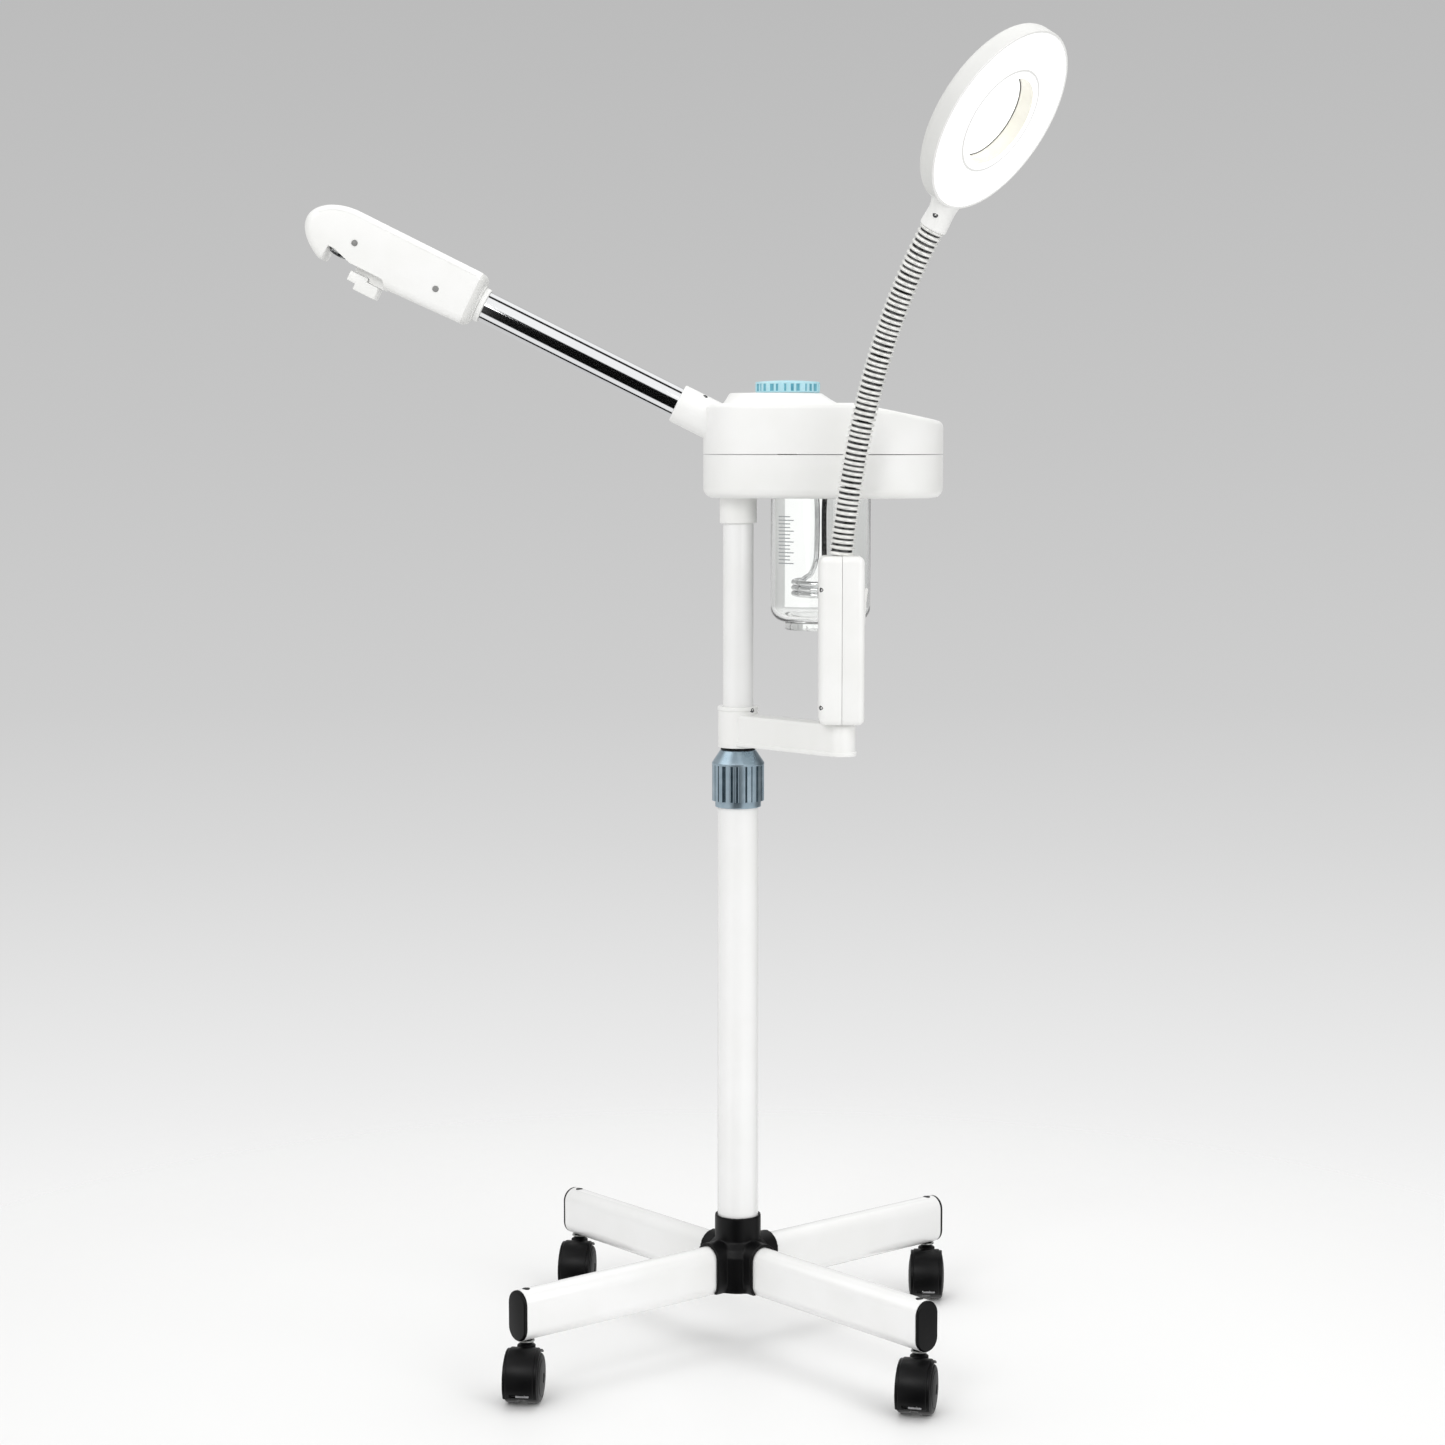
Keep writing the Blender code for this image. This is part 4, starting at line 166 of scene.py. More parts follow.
# painted shade in the seam between two turns of the strip
neckSeamShade = surface("steel strip, inner turn, painted seam shade", {
    "tones": ("#101011", "#5C5C5D"), "drift": 5, "rough": (0.4, 0.6), "grain": 0.6, "depth": 0.01,
    "sockets": {"Specular IOR Level": 0.2},
})
# dark heads in their recesses
screwSteel = surface("steel screw, blackened", {
    "tones": ("#4A4B4D", "#5C5D60"), "drift": 2, "rough": (0.28, 0.42), "grain": 0.3, "depth": 0.01,
    "sockets": {"Metallic": 0.9},
})
# grey plugs that close the screw holes of the nozzle
plugGrey = surface("ABS plug, moulded grey", {
    "tones": ("#7E7E7D", "#8E8E8D"), "drift": 4, "rough": (0.35, 0.45), "grain": 0.5, "depth": 0.006,
})
# light aqua, a little see-through, glossy on the rim
aquaCap = surface("polypropylene, aqua tint, moulded", {
    "tones": ("#AEDCE8", "#BEE5EE"), "drift": 18, "rough": (0.2, 0.3), "grain": 0.7, "depth": 0.004,
    "sockets": {
        "IOR": 1.49, "Subsurface Weight": 0.25, "Subsurface Scale": 0.003,
        "Subsurface Radius": (0.5, 0.9, 1.0),
    },
})
# deeper aqua between the ribs, painted shade in the grooves
aquaShade = surface("polypropylene, aqua tint, painted groove shade", {
    "tones": ("#4E9DB4", "#6FB4C6"), "drift": 9, "rough": (0.24, 0.34), "grain": 0.7, "depth": 0.004,
    "sockets": {"IOR": 1.49},
})
# walls turned from the light: duller than the faces beside them, and greyer as painted shade
wallShadeAbs = surface("ABS, injection moulded, matt wall, painted shade", {
    "tones": ("#DDDDDB", "#E3E3E1"), "drift": 50, "rough": (0.5, 0.6), "grain": 0.7, "depth": 0.006,
    "sockets": {"IOR": 1.53},
})
# warm pale wall round the lens, duller than the shell
seatCream = surface("ABS, moulded, warm white and matt", {
    "tones": ("#E9E7DC", "#EFEDE4"), "drift": 20, "rough": (0.45, 0.55), "grain": 0.8, "depth": 0.004,
})
# clear and colourless with bright edges
jarGlass = surface("borosilicate glass, blown and fire polished", {
    "tones": ("#FBFCFB", "#FDFEFD"), "drift": 60, "rough": (0.0, 0.012), "grain": 14, "depth": 0.004,
    "sockets": {"IOR": 1.47, "Transmission Weight": 1.0},
})
# clear optical glass with a painted glow, so it reads as white as the lamp round it
glowingLensGlass = surface("crown glass, ground and polished lens, painted glow", {
    "tones": ("#FAFBFB", "#FDFDFD"), "drift": 60, "rough": (0.0, 0.01), "grain": 20, "depth": 0.0005,
    "sockets": {
        "IOR": 1.52, "Transmission Weight": 0.75, "Emission Color": linear("#FFFFFF"),
        "Emission Strength": 0.45,
    },
})
# lit evenly from behind, almost pure white
opalAcrylic = surface("acrylic, opal diffuser, lit", {
    "tones": ("#F4F5F5", "#F9F9F9"), "drift": 40, "rough": (0.45, 0.55), "grain": 0.6, "depth": 0.004,
    "sockets": {"IOR": 1.49, "Emission Color": linear("#FDFDFF"), "Emission Strength": 0.55},
})
# grey lines printed on the jar
printInk = surface("enamel ink, screen printed and fired", {
    "tones": ("#8E9295", "#9EA2A4"), "drift": 3, "rough": (0.4, 0.55), "grain": 0.3, "depth": 0.003,
})
# milky, matt ring
silicone = surface("silicone, moulded seal", {
    "tones": ("#D6D6D1", "#E0E0DC"), "drift": 10, "rough": (0.5, 0.65), "grain": 0.6, "depth": 0.006,
})
# flat green board
boardGreen = surface("epoxy glass board, green solder mask", {
    "tones": ("#1F6B3C", "#2A7A47"), "drift": 4, "rough": (0.3, 0.45), "grain": 0.8, "depth": 0.01,
})
print("materials made")


# Shapes

def spun(profile, steps=72, closed=False):
    # a shape turned about its own Z from radius and height pairs
    bm = bmesh.new()
    points = [bm.verts.new((radius, 0, height)) for radius, height in profile]
    pairs = list(zip(points, points[1:])) + ([(points[-1], points[0])] if closed else [])
    edges = [bm.edges.new(pair) for pair in pairs]
    bmesh.ops.spin(
        bm, geom=points + edges, cent=(0, 0, 0), axis=(0, 0, 1), angle=2 * math.pi, steps=steps,
        use_merge=True,
    )
    bmesh.ops.remove_doubles(bm, verts=bm.verts, dist=0.0005)
    bmesh.ops.recalc_face_normals(bm, faces=bm.faces)
    return bm


def slab(outline, low, high):
    # a flat outline raised from one level to another
    bm = bmesh.new()
    face = bm.faces.new([bm.verts.new((x, y, low)) for x, y in outline])
    raised = bmesh.ops.extrude_face_region(bm, geom=[face])["geom"]
    lifted = [item for item in raised if isinstance(item, bmesh.types.BMVert)]
    bmesh.ops.translate(bm, vec=(0, 0, high - low), verts=lifted)
    bmesh.ops.recalc_face_normals(bm, faces=bm.faces)
    return bm


def rod(radius, low, high, steps=48):
    bm = bmesh.new()
    bmesh.ops.create_cone(
        bm, cap_ends=True, segments=steps, radius1=radius, radius2=radius, depth=high - low,
    )
    bmesh.ops.translate(bm, vec=(0, 0, (low + high) / 2), verts=bm.verts)
    return bm


def brick(low, high):
    bm = bmesh.new()
    bmesh.ops.create_cube(bm, size=1)
    size = [h - l for l, h in zip(low, high)]
    bmesh.ops.scale(bm, vec=size, verts=bm.verts)
    bmesh.ops.translate(bm, vec=[(l + h) / 2 for l, h in zip(low, high)], verts=bm.verts)
    return bm


def lofted(rings):
    # closed rings of points, bridged one to the next and capped
    bm = bmesh.new()
    loops = []
    for ring in rings:
        points = [bm.verts.new(point) for point in ring]
        loops.append([bm.edges.new(pair) for pair in zip(points, points[1:] + points[:1])])
    for lower, upper in zip(loops, loops[1:]):
        bmesh.ops.bridge_loops(bm, edges=lower + upper)
    bmesh.ops.holes_fill(bm, edges=bm.edges)
    bmesh.ops.recalc_face_normals(bm, faces=bm.faces)
    return bm


def placed(bm, place):
    bmesh.ops.transform(bm, matrix=place, verts=bm.verts)
    return bm


def softened(bm, width, segments=4, least=30, where=lambda spot: True):
    # rounds the sharp edges whose ends all pass the test
    sharp = math.radians(least)
    edges = [
        edge for edge in bm.edges
        if edge.is_manifold and edge.calc_face_angle(0) > sharp and all(where(v.co) for v in edge.verts)
    ]
    bmesh.ops.bevel(
        bm, geom=edges, offset=width, segments=segments, profile=0.5, affect="EDGES", material=-1,
        clamp_overlap=True,
    )
    return bm


def meshOf(bm, name):
    mesh = bpy.data.meshes.new(name)
    bm.to_mesh(mesh)
    bm.free()
    return mesh


def merged(*shapes):
    whole = bmesh.new()
    for shape in shapes:
        mesh = meshOf(shape, "part")
        whole.from_mesh(mesh)
        bpy.data.meshes.remove(mesh)
    return whole


def held(bm):
    bmesh.ops.recalc_face_normals(bm, faces=bm.faces)
    body = bpy.data.objects.new("held", meshOf(bm, "held"))
    scene.collection.objects.link(body)
    return body


def evaluated(*bodies):
    # the first body with its modifiers applied, as a new shape
    bpy.context.view_layer.update()
    finished = bodies[0].evaluated_get(bpy.context.evaluated_depsgraph_get())
    mesh = bpy.data.meshes.new_from_object(finished)
    bm = bmesh.new()
    bm.from_mesh(mesh)
    bpy.data.meshes.remove(mesh)
    for body in bodies:
        data = body.data
        bpy.data.objects.remove(body)
        (bpy.data.curves if isinstance(data, bpy.types.Curve) else bpy.data.meshes).remove(data)
    return bm


def solved(shape, other, how="DIFFERENCE"):
    first, second = held(shape), held(other)
    step = first.modifiers.new("solve", "BOOLEAN")
    step.operation, step.object, step.solver = how, second, "EXACT"
    return evaluated(first, second)


def halfOf(mesh, way, gap):
    # the part of a closed shell on one side of its parting plane, with the cut filled
    half = bmesh.new()
    half.from_mesh(mesh)
    cut = bmesh.ops.bisect_plane(
        half, geom=half.verts[:] + half.edges[:] + half.faces[:], plane_co=way * gap, plane_no=-way,
        clear_outer=True,
    )["geom_cut"]
    rim = [item for item in cut if isinstance(item, bmesh.types.BMEdge)]
    bmesh.ops.triangle_fill(half, use_beauty=True, use_dissolve=True, edges=rim)
    return half


def twoToned(bm, test):
    # the second material goes on the faces whose middle and normal pass the test
    for face in bm.faces:
        face.material_index = int(test(face.calc_center_median(), face.normal))
    return bm


def frameOf(x, y, z, origin=(0, 0, 0)):
    place = Matrix((Vector(x), Vector(y), Vector(z))).transposed().to_4x4()
    place.translation = Vector(origin)
    return place


def shifted(x):
    return Matrix.Translation((x, 0, 0))


def arcOf(centre, radius, start, end, steps):
    turns = [math.radians(start + (end - start) * step / steps) for step in range(steps + 1)]
    return [(centre[0] + radius * math.cos(turn), centre[1] + radius * math.sin(turn)) for turn in turns]


def stadium(width, height, steps=18):
    straight, radius = (height - width) / 2, width / 2
    return arcOf((0, straight), radius, 0, 180, steps) + arcOf((0, -straight), radius, 180, 360, steps)


def filleted(points, rounds, steps=5):
    # an open path with each inner corner swapped for an arc
    path = [Vector(points[0])]
    for before, corner, after, radius in zip(points, points[1:], points[2:], rounds):
        corner = Vector(corner)
        back, on = (Vector(before) - corner).normalized(), (Vector(after) - corner).normalized()
        half = back.angle(on) / 2
        if radius <= 0:
            path.append(corner)
            continue
        centre = corner + (back + on).normalized() * radius / math.sin(half)
        first = corner + back * radius / math.tan(half) - centre
        last = corner + on * radius / math.tan(half) - centre
        turn = first.angle_signed(last)
        path += [centre + Matrix.Rotation(-turn * step / steps, 2) @ first for step in range(steps + 1)]
    return path + [Vector(points[-1])]


def pipe(radius, wall, low, high, rounds, steps=5):
    section = [(radius - wall, low), (radius, low), (radius, high), (radius - wall, high)]
    return spun(filleted(section, rounds, steps), 96, closed=True)


def flutedOutline(grip):
    # slightly uneven flutes round a grip, each with steep sides
    outline, fine, count = [], grip["fine"], grip["flutes"]
    for step in range(count * fine):
        along = step / fine
        width = grip["narrow"] + grip["vary"] * math.sin(grip["beat"] * (step // fine))
        radius = grip["radius"] - grip["depth"] * math.exp(-((along % 1 - 0.5) / width) ** 4)
        sway = grip["sway"] * math.sin(grip["waves"] * math.pi * along / count)
        turn = 2 * math.pi * (along + sway) / count
        outline.append((radius * math.cos(turn), radius * math.sin(turn)))
    return outline


def toPiece(bm, name, body, looks, stands=(), sharp=32):
    # closes the shape, scales it to metres and hangs it on its body
    bmesh.ops.remove_doubles(bm, verts=bm.verts, dist=0.0005)
    bmesh.ops.recalc_face_normals(bm, faces=bm.faces)
    bmesh.ops.scale(bm, vec=(mm, mm, mm), verts=bm.verts)
    mesh = meshOf(bm, name)
    mesh.shade_smooth()
    mesh.set_sharp_from_angle(angle=math.radians(sharp))
    for look in looks:
        mesh.materials.append(look)
    piece = bpy.data.objects.new(name, mesh)
    scene.collection.objects.link(piece)
    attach(piece, body)
    if stands:
        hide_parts(*stands)
    return piece


def screwHead(radius):
    # a low domed head with a cross recess, its face towards Z
    head = spun([(0, 0.5), (radius * 0.6, 0.35), (radius, -0.1), (radius, -1.2), (0, -1.2)], 28)
    half, bar = radius * 0.55, radius * 0.16
    level = brick((-half, -bar, -0.5), (half, bar, 1))
    return solved(head, solved(level, brick((-bar, -half, -0.5), (bar, half, 1)), "UNION"))


# Base: four flat oval legs in a black hub

base = {
    "turn": 40, "width": 25, "height": 46, "wall": 1.6, "centre": 75.5, "start": 16, "end": 253,
    "holeAt": 245.5, "hole": 3.5, "capGap": 0.3, "capEnd": 3.3, "plugSlack": 0.6, "plugDepth": 20,
}


def legPlace(index):
    # X across the leg, Y up and Z out along it
    turn = math.radians(base["turn"] + 90 * index)
    out = Vector((math.cos(turn), math.sin(turn), 0))
    return frameOf((-out.y, out.x, 0), upward, out, (0, 0, base["centre"]))


def legOval(extra=0.0):
    return stadium(base["width"] + extra, base["height"] + extra)


leg = slab(legOval(), base["start"], base["end"])
leg = solved(leg, slab(legOval(-2 * base["wall"]), 0, base["end"] + 47))
holePlace = Matrix.Translation((0, 0, base["holeAt"])) @ Matrix.Rotation(-math.pi / 2, 4, "X")
leg = solved(leg, placed(rod(base["hole"], 5, 40, 28), holePlace))
softened(leg, 0.5, 2, 60, lambda spot: spot.z > base["end"] - 0.1)

legCap = slab(legOval(-0.5), base["end"] + base["capGap"], base["end"] + base["capEnd"])
softened(legCap, 1.5, 4, 60, lambda spot: spot.z > base["end"] + 3)
capFace = max(legCap.faces, key=lambda item: item.calc_center_median().z + item.calc_area())
bmesh.ops.inset_region(legCap, faces=[capFace], thickness=2.0, use_even_offset=True)
bmesh.ops.inset_region(legCap, faces=[capFace], thickness=0.6, depth=-0.4, use_even_offset=True)
legPlug = legOval(-2 * base["wall"] - base["plugSlack"])
legCap = solved(legCap, slab(legPlug, base["end"] - base["plugDepth"], base["end"] + 1), "UNION")
holePlug = rod(base["hole"] - 0.1, 15, base["height"] / 2 - 0.1, 28)
legCap = solved(legCap, placed(holePlug, holePlace), "UNION")
for index in range(4):
    place, number = legPlace(index), index + 1
    toPiece(placed(leg.copy(), place), f"leg{number}", "base", [whiteEnamel], [f"leg_{number}"])
    toPiece(placed(legCap.copy(), place), f"legCap{number}", "base", [blackNylon], [f"leg_cap_{number}"])

hub = {
    "radius": 21.5, "bottom": 55, "top": 124, "reach": 37, "wall": 3.2, "core": 30, "shoulder": 88,
    "neck": 101, "seat": 104, "postBore": 19.3, "boltBore": 4.3, "fillet": 0.8,
}
hubShape = spun([
    (0, hub["bottom"] - 5), (hub["core"], hub["bottom"] - 5), (hub["core"], hub["shoulder"]),
    (hub["core"] - 3, hub["shoulder"] + 7), (hub["radius"], hub["neck"]), (hub["radius"], hub["top"]),
    (0, hub["top"]),
], 96)
for index in range(4):
    saddle = slab(legOval(2 * hub["wall"]), 4, hub["reach"])
    hubShape = solved(hubShape, placed(saddle, legPlace(index)), "UNION")
hubShape = solved(hubShape, brick((-90, -90, 0), (90, 90, hub["bottom"])))
for index in range(4):
    channel = slab(legOval(0.6), base["start"] - 0.3, 90)
    hubShape = solved(hubShape, placed(channel, legPlace(index)))
hubShape = solved(hubShape, rod(hub["postBore"], hub["seat"], hub["top"] + 16, 72))
hubShape = solved(hubShape, rod(hub["boltBore"], 20, 120, 24))
hubBody = held(hubShape)
remesh = hubBody.modifiers.new("fillets", "REMESH")
remesh.mode, remesh.voxel_size = "VOXEL", hub["fillet"]
smooth = hubBody.modifiers.new("smooth", "SMOOTH")
smooth.factor, smooth.iterations = 0.5, 4
toPiece(evaluated(hubBody), "hub", "base", [blackNylon], ["base_hub"], 60)
print("base made")


# Casters: twin wheels under a rounded hood

caster = {
    "turns": (-4, -8, -7, -14), "trail": 12, "radius": 22, "space": 22.9, "hood": 26, "half": 15.4,
    "ridge": 12.6, "web": 3, "wheelAt": 3.6, "axle": 3, "neck": 5.2, "neckTop": 52.2, "front": 215,
    "back": 56,
}
wheelProfile = [(0, 1.2), (3.3, 1.2), (3.3, 0), (20.4, 0), (21.4, 0.4), (22, 1.4), (22, 9.4)]
wheelProfile += arcOf((19, 9.4), 3, 12, 84, 6) + [(17.2, 12.75), (16.9, 12.3), (16.1, 12.3), (15.8, 13.0)]
wheelProfile += [(11, 13.6), (5.2, 13.95), (4.6, 13.9), (4.3, 13.3), (3.4, 13.2), (0, 13.4)]
axle = Vector((0, -caster["trail"], caster["radius"]))
hoodSide = frameOf(inward, upward, across, axle)  # the hood's side view, its own Z along the axle


def hoodBand(outer, inner, start, end, steps=40):
    return arcOf((0, 0), outer, start, end, steps) + arcOf((0, 0), inner, end, start, steps)


band = hoodBand(caster["hood"] - 1.1, caster["space"], caster["front"], caster["back"])
hood = softened(slab(band, -caster["half"], caster["half"]), 0.7, 3, 50)
ridge = hoodBand(caster["hood"], caster["space"] + 0.8, caster["front"] - 6, caster["back"] + 4)
hood = solved(hood, softened(slab(ridge, -caster["ridge"], caster["ridge"]), 0.9, 3, 50), "UNION")
web = arcOf((0, 0), caster["space"] + 0.6, caster["front"], caster["back"], 36)
web += arcOf((0, 0), 7, 40, -145, 14)
hood = solved(hood, slab(web, -caster["web"], caster["web"]), "UNION")
hood = solved(hood, rod(caster["axle"], -13.2, 13.2, 24), "UNION")
placed(hood, hoodSide)
barSlot = brick((-9, -caster["hood"] - 2, -11.5), (9, -18, -8.5))
hood = solved(hood, placed(barSlot, Matrix.Translation(axle)))
foot = caster["radius"] + caster["hood"]
stalk = spun([
    (0, 40), (8.2, 40), (8.2, foot - 0.6), (7.2, foot + 0.3), (5.9, foot + 0.8), (caster["neck"], foot + 1.6),
    (caster["neck"], caster["neckTop"] - 0.3), (4, caster["neckTop"]), (4, 80), (0, 80),
], 40)
stalk = solved(stalk, placed(rod(caster["space"], -20, 20, 64), hoodSide))
hood = solved(hood, stalk, "UNION")
# pale bar in the slot at the foot of the hood, coloured as a painted highlight
bar = placed(softened(brick((-3.2, -24.9, -10.9), (8.6, -22.9, -9.3)), 0.5, 2), Matrix.Translation(axle))
washer = spun(filleted([(5.3, 51.1), (7.4, 51.1), (7.4, 52.2), (5.3, 52.2)], (0.3, 0.3), 2), 36, closed=True)
wheel = spun(wheelProfile, 64)
for index, turn in enumerate(caster["turns"]):
    number = index + 1
    body = f"caster_{number}"
    around = math.radians(base["turn"] + 90 * index)
    swivel = Vector((math.cos(around), math.sin(around), 0)) * base["holeAt"]
    stand = Matrix.Translation(swivel) @ Matrix.Rotation(math.radians(turn), 4, "Z")
    toPiece(placed(hood.copy(), stand), f"casterHood{number}", body, [blackNylon], [f"caster_frame_{number}"])
    toPiece(placed(bar.copy(), stand), f"casterBar{number}", body, [barHighlightNylon])
    toPiece(placed(washer.copy(), stand), f"casterWasher{number}", body, [zincSteel])
    for sign, letter in ((1, "a"), (-1, "b")):
        spindle = frameOf((0, sign, 0), upward, (sign, 0, 0), axle + across * sign * caster["wheelAt"])
        toPiece(
            placed(wheel.copy(), stand @ spindle), f"wheel{number}{letter}", f"wheel_{number}{letter}",
            [wheelPolyurethane], [f"caster_wheel_{number}{letter}"],
        )
print("casters made")


# Posts and the lock collar

posts = {
    "wall": 1.5, "lowerRadius": 19, "lowerBottom": 104.3, "lowerTop": 540, "upperRadius": 14,
    "upperBottom": 188, "upperTop": 824, "fit": 0.3,
}
lowerTube = pipe(posts["lowerRadius"], posts["wall"], posts["lowerBottom"], posts["lowerTop"], (0.4, 0.6))
toPiece(lowerTube, "lowerTube", "base", [whiteEnamel], ["lower_post"])
upperTube = pipe(posts["upperRadius"], posts["wall"], posts["upperBottom"], posts["upperTop"], (0.4, 0.4))
toPiece(upperTube, "upperTube", "head", [whiteEnamel], ["upper_post"])
lowerBore, upperBore = posts["lowerRadius"] + posts["fit"], posts["upperRadius"] + posts["fit"]

collar = {
    "flutes": 22, "fine": 14, "narrow": 0.13, "vary": 0.06, "beat": 5.1, "waves": 18, "sway": 0.16,
    "radius": 24, "depth": 1.6, "low": 514, "high": 547.6, "foot": 21.2, "footLow": 508, "core": 22,
    "brim": 24.2, "brimTop": 549, "mouth": 16.6, "top": 561, "gapRing": 16.1,
}
coneFoot = [(18, collar["footLow"]), (collar["foot"], collar["footLow"]), (collar["foot"], collar["low"] + 1)]
coneTop = [
    (collar["core"] + 0.5, collar["high"] - 0.5), (collar["brim"], collar["high"] - 0.5),
    (collar["brim"], collar["brimTop"]), (collar["mouth"], collar["top"] - 0.6),
    (collar["mouth"] - 1, collar["top"]),
]
cone = spun([
    (0, collar["footLow"]), *filleted(coneFoot, [0.8]), (collar["core"], collar["low"] + 1),
    (collar["core"], collar["high"] - 0.5), *filleted(coneTop, (0.4, 0.7, 0.6)), (0, collar["top"]),
], 96)
grip = solved(slab(flutedOutline(collar), collar["low"], collar["high"]), cone, "UNION")
grip = solved(grip, rod(lowerBore, 480, posts["lowerTop"] + posts["fit"], 72))
grip = solved(grip, rod(upperBore, 530, 580, 72))
# the flute sides take the darker material: painted shade between the ridges
twoToned(grip, lambda spot, normal: (
    collar["low"] + 0.2 < spot.z < collar["high"] - 0.2 and abs(normal.z) < 0.5
    and collar["core"] - 0.2 < spot.xy.length < collar["radius"] - 0.55
))
toPiece(grip, "lockCollar", "collar", [collarBlue, collarShade], ["lock_collar"], 40)
# a thin black ring fills the gap between the collar and the bracket
gapRingProfile = [(14.4, 561.2), (collar["gapRing"], 561.2), (collar["gapRing"], 562.9), (14.4, 562.9)]
gapRing = spun(filleted(gapRingProfile, (0.3, 0.3), 2), 64, closed=True)
toPiece(gapRing, "collarBush", "collar", [blackNylon])
print("posts made")


# Lamp bracket and switch box

bracket = {
    "turn": -47, "reach": 133, "low": 563.3, "high": 601.3, "bore": 14.4, "radius": 18.5, "armLow": 565.5,
    "armHigh": 594, "half": 13, "lip": 1.2, "lipHeight": 4, "pinBore": 5.3,
}
swing = Matrix.Rotation(math.radians(bracket["turn"]), 4, "Z")
sleeveRadius, sleeveLow, sleeveTop = bracket["radius"], bracket["low"], bracket["high"]
sleeveProfile = filleted([
    (bracket["bore"], sleeveLow), (sleeveRadius, sleeveLow), (sleeveRadius, sleeveTop - 4.4),
    (sleeveRadius - 0.5, sleeveTop - 4.2), (sleeveRadius - 0.5, sleeveTop - 3.6),
    (sleeveRadius + 0.4, sleeveTop - 3.4), (sleeveRadius + 0.4, sleeveTop), (bracket["bore"], sleeveTop),
], (0.8, 0, 0, 0, 0.2, 1.0))
sleeve = spun([(0, sleeveLow)] + sleeveProfile + [(0, sleeveTop)], 96)


def tongue(half):
    return [(0, -half)] + arcOf((bracket["reach"], 0), half, -90, 90, 32) + [(0, half)]


bracketShape = slab(tongue(bracket["half"]), bracket["armLow"], bracket["armHigh"])
softened(bracketShape, 3.2, 5, 60, lambda spot: spot.z > bracket["armHigh"] - 0.1)
lipOutline = tongue(bracket["half"] + bracket["lip"])
lip = softened(slab(lipOutline, bracket["armLow"], bracket["armLow"] + bracket["lipHeight"]), 1.0, 3, 60)
bracketShape = solved(bracketShape, lip, "UNION")
bracketShape = solved(placed(bracketShape, swing), sleeve, "UNION")
bracketShape = solved(bracketShape, rod(upperBore, 540, 620, 72))
pinPlace = swing @ shifted(bracket["reach"])
bracketShape = solved(bracketShape, placed(rod(bracket["pinBore"], 540, 620, 32), pinPlace))
toPiece(bracketShape, "bracketArm", "bracket_arm", [whiteAbs], ["bracket"])

box = {
    "width": 40, "depth": 46, "low": 594.3, "high": 743.3, "round": 6, "wall": 2.2, "gap": 0.15,
    "pinBore": 5.4, "neckBore": 7.3,
}
rocker = {"z": 698.3, "half": 16.3, "wide": 6.5, "sideGap": 0.3, "endGap": 0.5}
boxSpot = swing @ Vector((bracket["reach"], 0, 0))
boxCorner = Vector((box["width"] / 2, box["depth"] / 2))
boxShape = brick((*-boxCorner, box["low"]), (*boxCorner, box["high"]))
softened(boxShape, box["round"], 6, 60)
boxInside = boxCorner - Vector((box["wall"], box["wall"]))
hollow = brick((*-boxInside, box["low"] + box["wall"]), (*boxInside, box["high"] - box["wall"]))
boxShape = solved(boxShape, softened(hollow, 4, 4, 60))
boxShape = solved(boxShape, rod(box["pinBore"], 580, 600, 32))
boxShape = solved(boxShape, rod(box["neckBore"], 735, 750, 32))
rockerWide, rockerLong = rocker["wide"] + rocker["sideGap"], rocker["half"] + rocker["endGap"]
boxShape = solved(boxShape, brick(
    (10, -rockerWide, rocker["z"] - rockerLong), (30, rockerWide, rocker["z"] + rockerLong),
))
boxMesh = meshOf(boxShape, "box")
for sign, name in ((-1, "left"), (1, "right")):
    boxHalf = halfOf(boxMesh, across * sign, box["gap"])
    softened(boxHalf, 0.35, 2, 50, lambda spot: abs(spot.x - sign * box["gap"]) < 0.01)
    placed(boxHalf, Matrix.Translation(boxSpot))
    toPiece(boxHalf, f"boxHalf{name.title()}", "box", [whiteAbs], [f"lamp_box_{name}"])
bpy.data.meshes.remove(boxMesh)

# rocker with its upper half pressed out, side view in the box's own depth and height
rockerSide = filleted([
    (-2.2, -rocker["half"]), (0.8, -rocker["half"]), (1.4, 0), (3.4, rocker["half"]), (-2.2, rocker["half"]),
], (0.6, 3, 1.0))
rockerKey = slab([(point.x, point.y) for point in rockerSide], -rocker["wide"], rocker["wide"])
softened(rockerKey, 0.5, 2, 40)
rockerPlace = frameOf(across, upward, -inward, boxSpot + Vector((box["width"] / 2, 0, rocker["z"])))
toPiece(placed(rockerKey, rockerPlace), "rockerSwitch", "switch", [whiteAbs], ["lamp_switch"])
print("bracket made")


# Gooseneck: wound strip with a crown on each turn

neck = {
    "turn": -34, "length": 297.5, "lean": (7, 32.5), "bow": 0.45, "start": 744.88, "parts": 5, "ribs": 12,
    "crown": 11.1, "seam": 9.1, "groove": 1.85, "gap": 1.0, "bore": 3.2, "core": 5.0, "coreEnd": 1.2,
    "rootLap": 0.9, "topLap": 0.2, "uneven": 0.3, "beat": 7.3,
    "bodies": ("box", "neck_2", "neck_3", "neck_4", "lamp"),
    "rib": ((0.0, 0), (0.07, 0.5), (0.22, 0.85), (0.5, 1), (0.78, 0.85), (0.93, 0.5), (1.0, 0)),
}
forward = Vector((math.cos(math.radians(neck["turn"])), math.sin(math.radians(neck["turn"])), 0))


def neckWay(along):
    share = along / neck["length"]
    bent = (1 - neck["bow"]) * share + neck["bow"] * share * share
    lean = math.radians(neck["lean"][0] + (neck["lean"][1] - neck["lean"][0]) * bent)
    return forward * math.sin(lean) + upward * math.cos(lean)


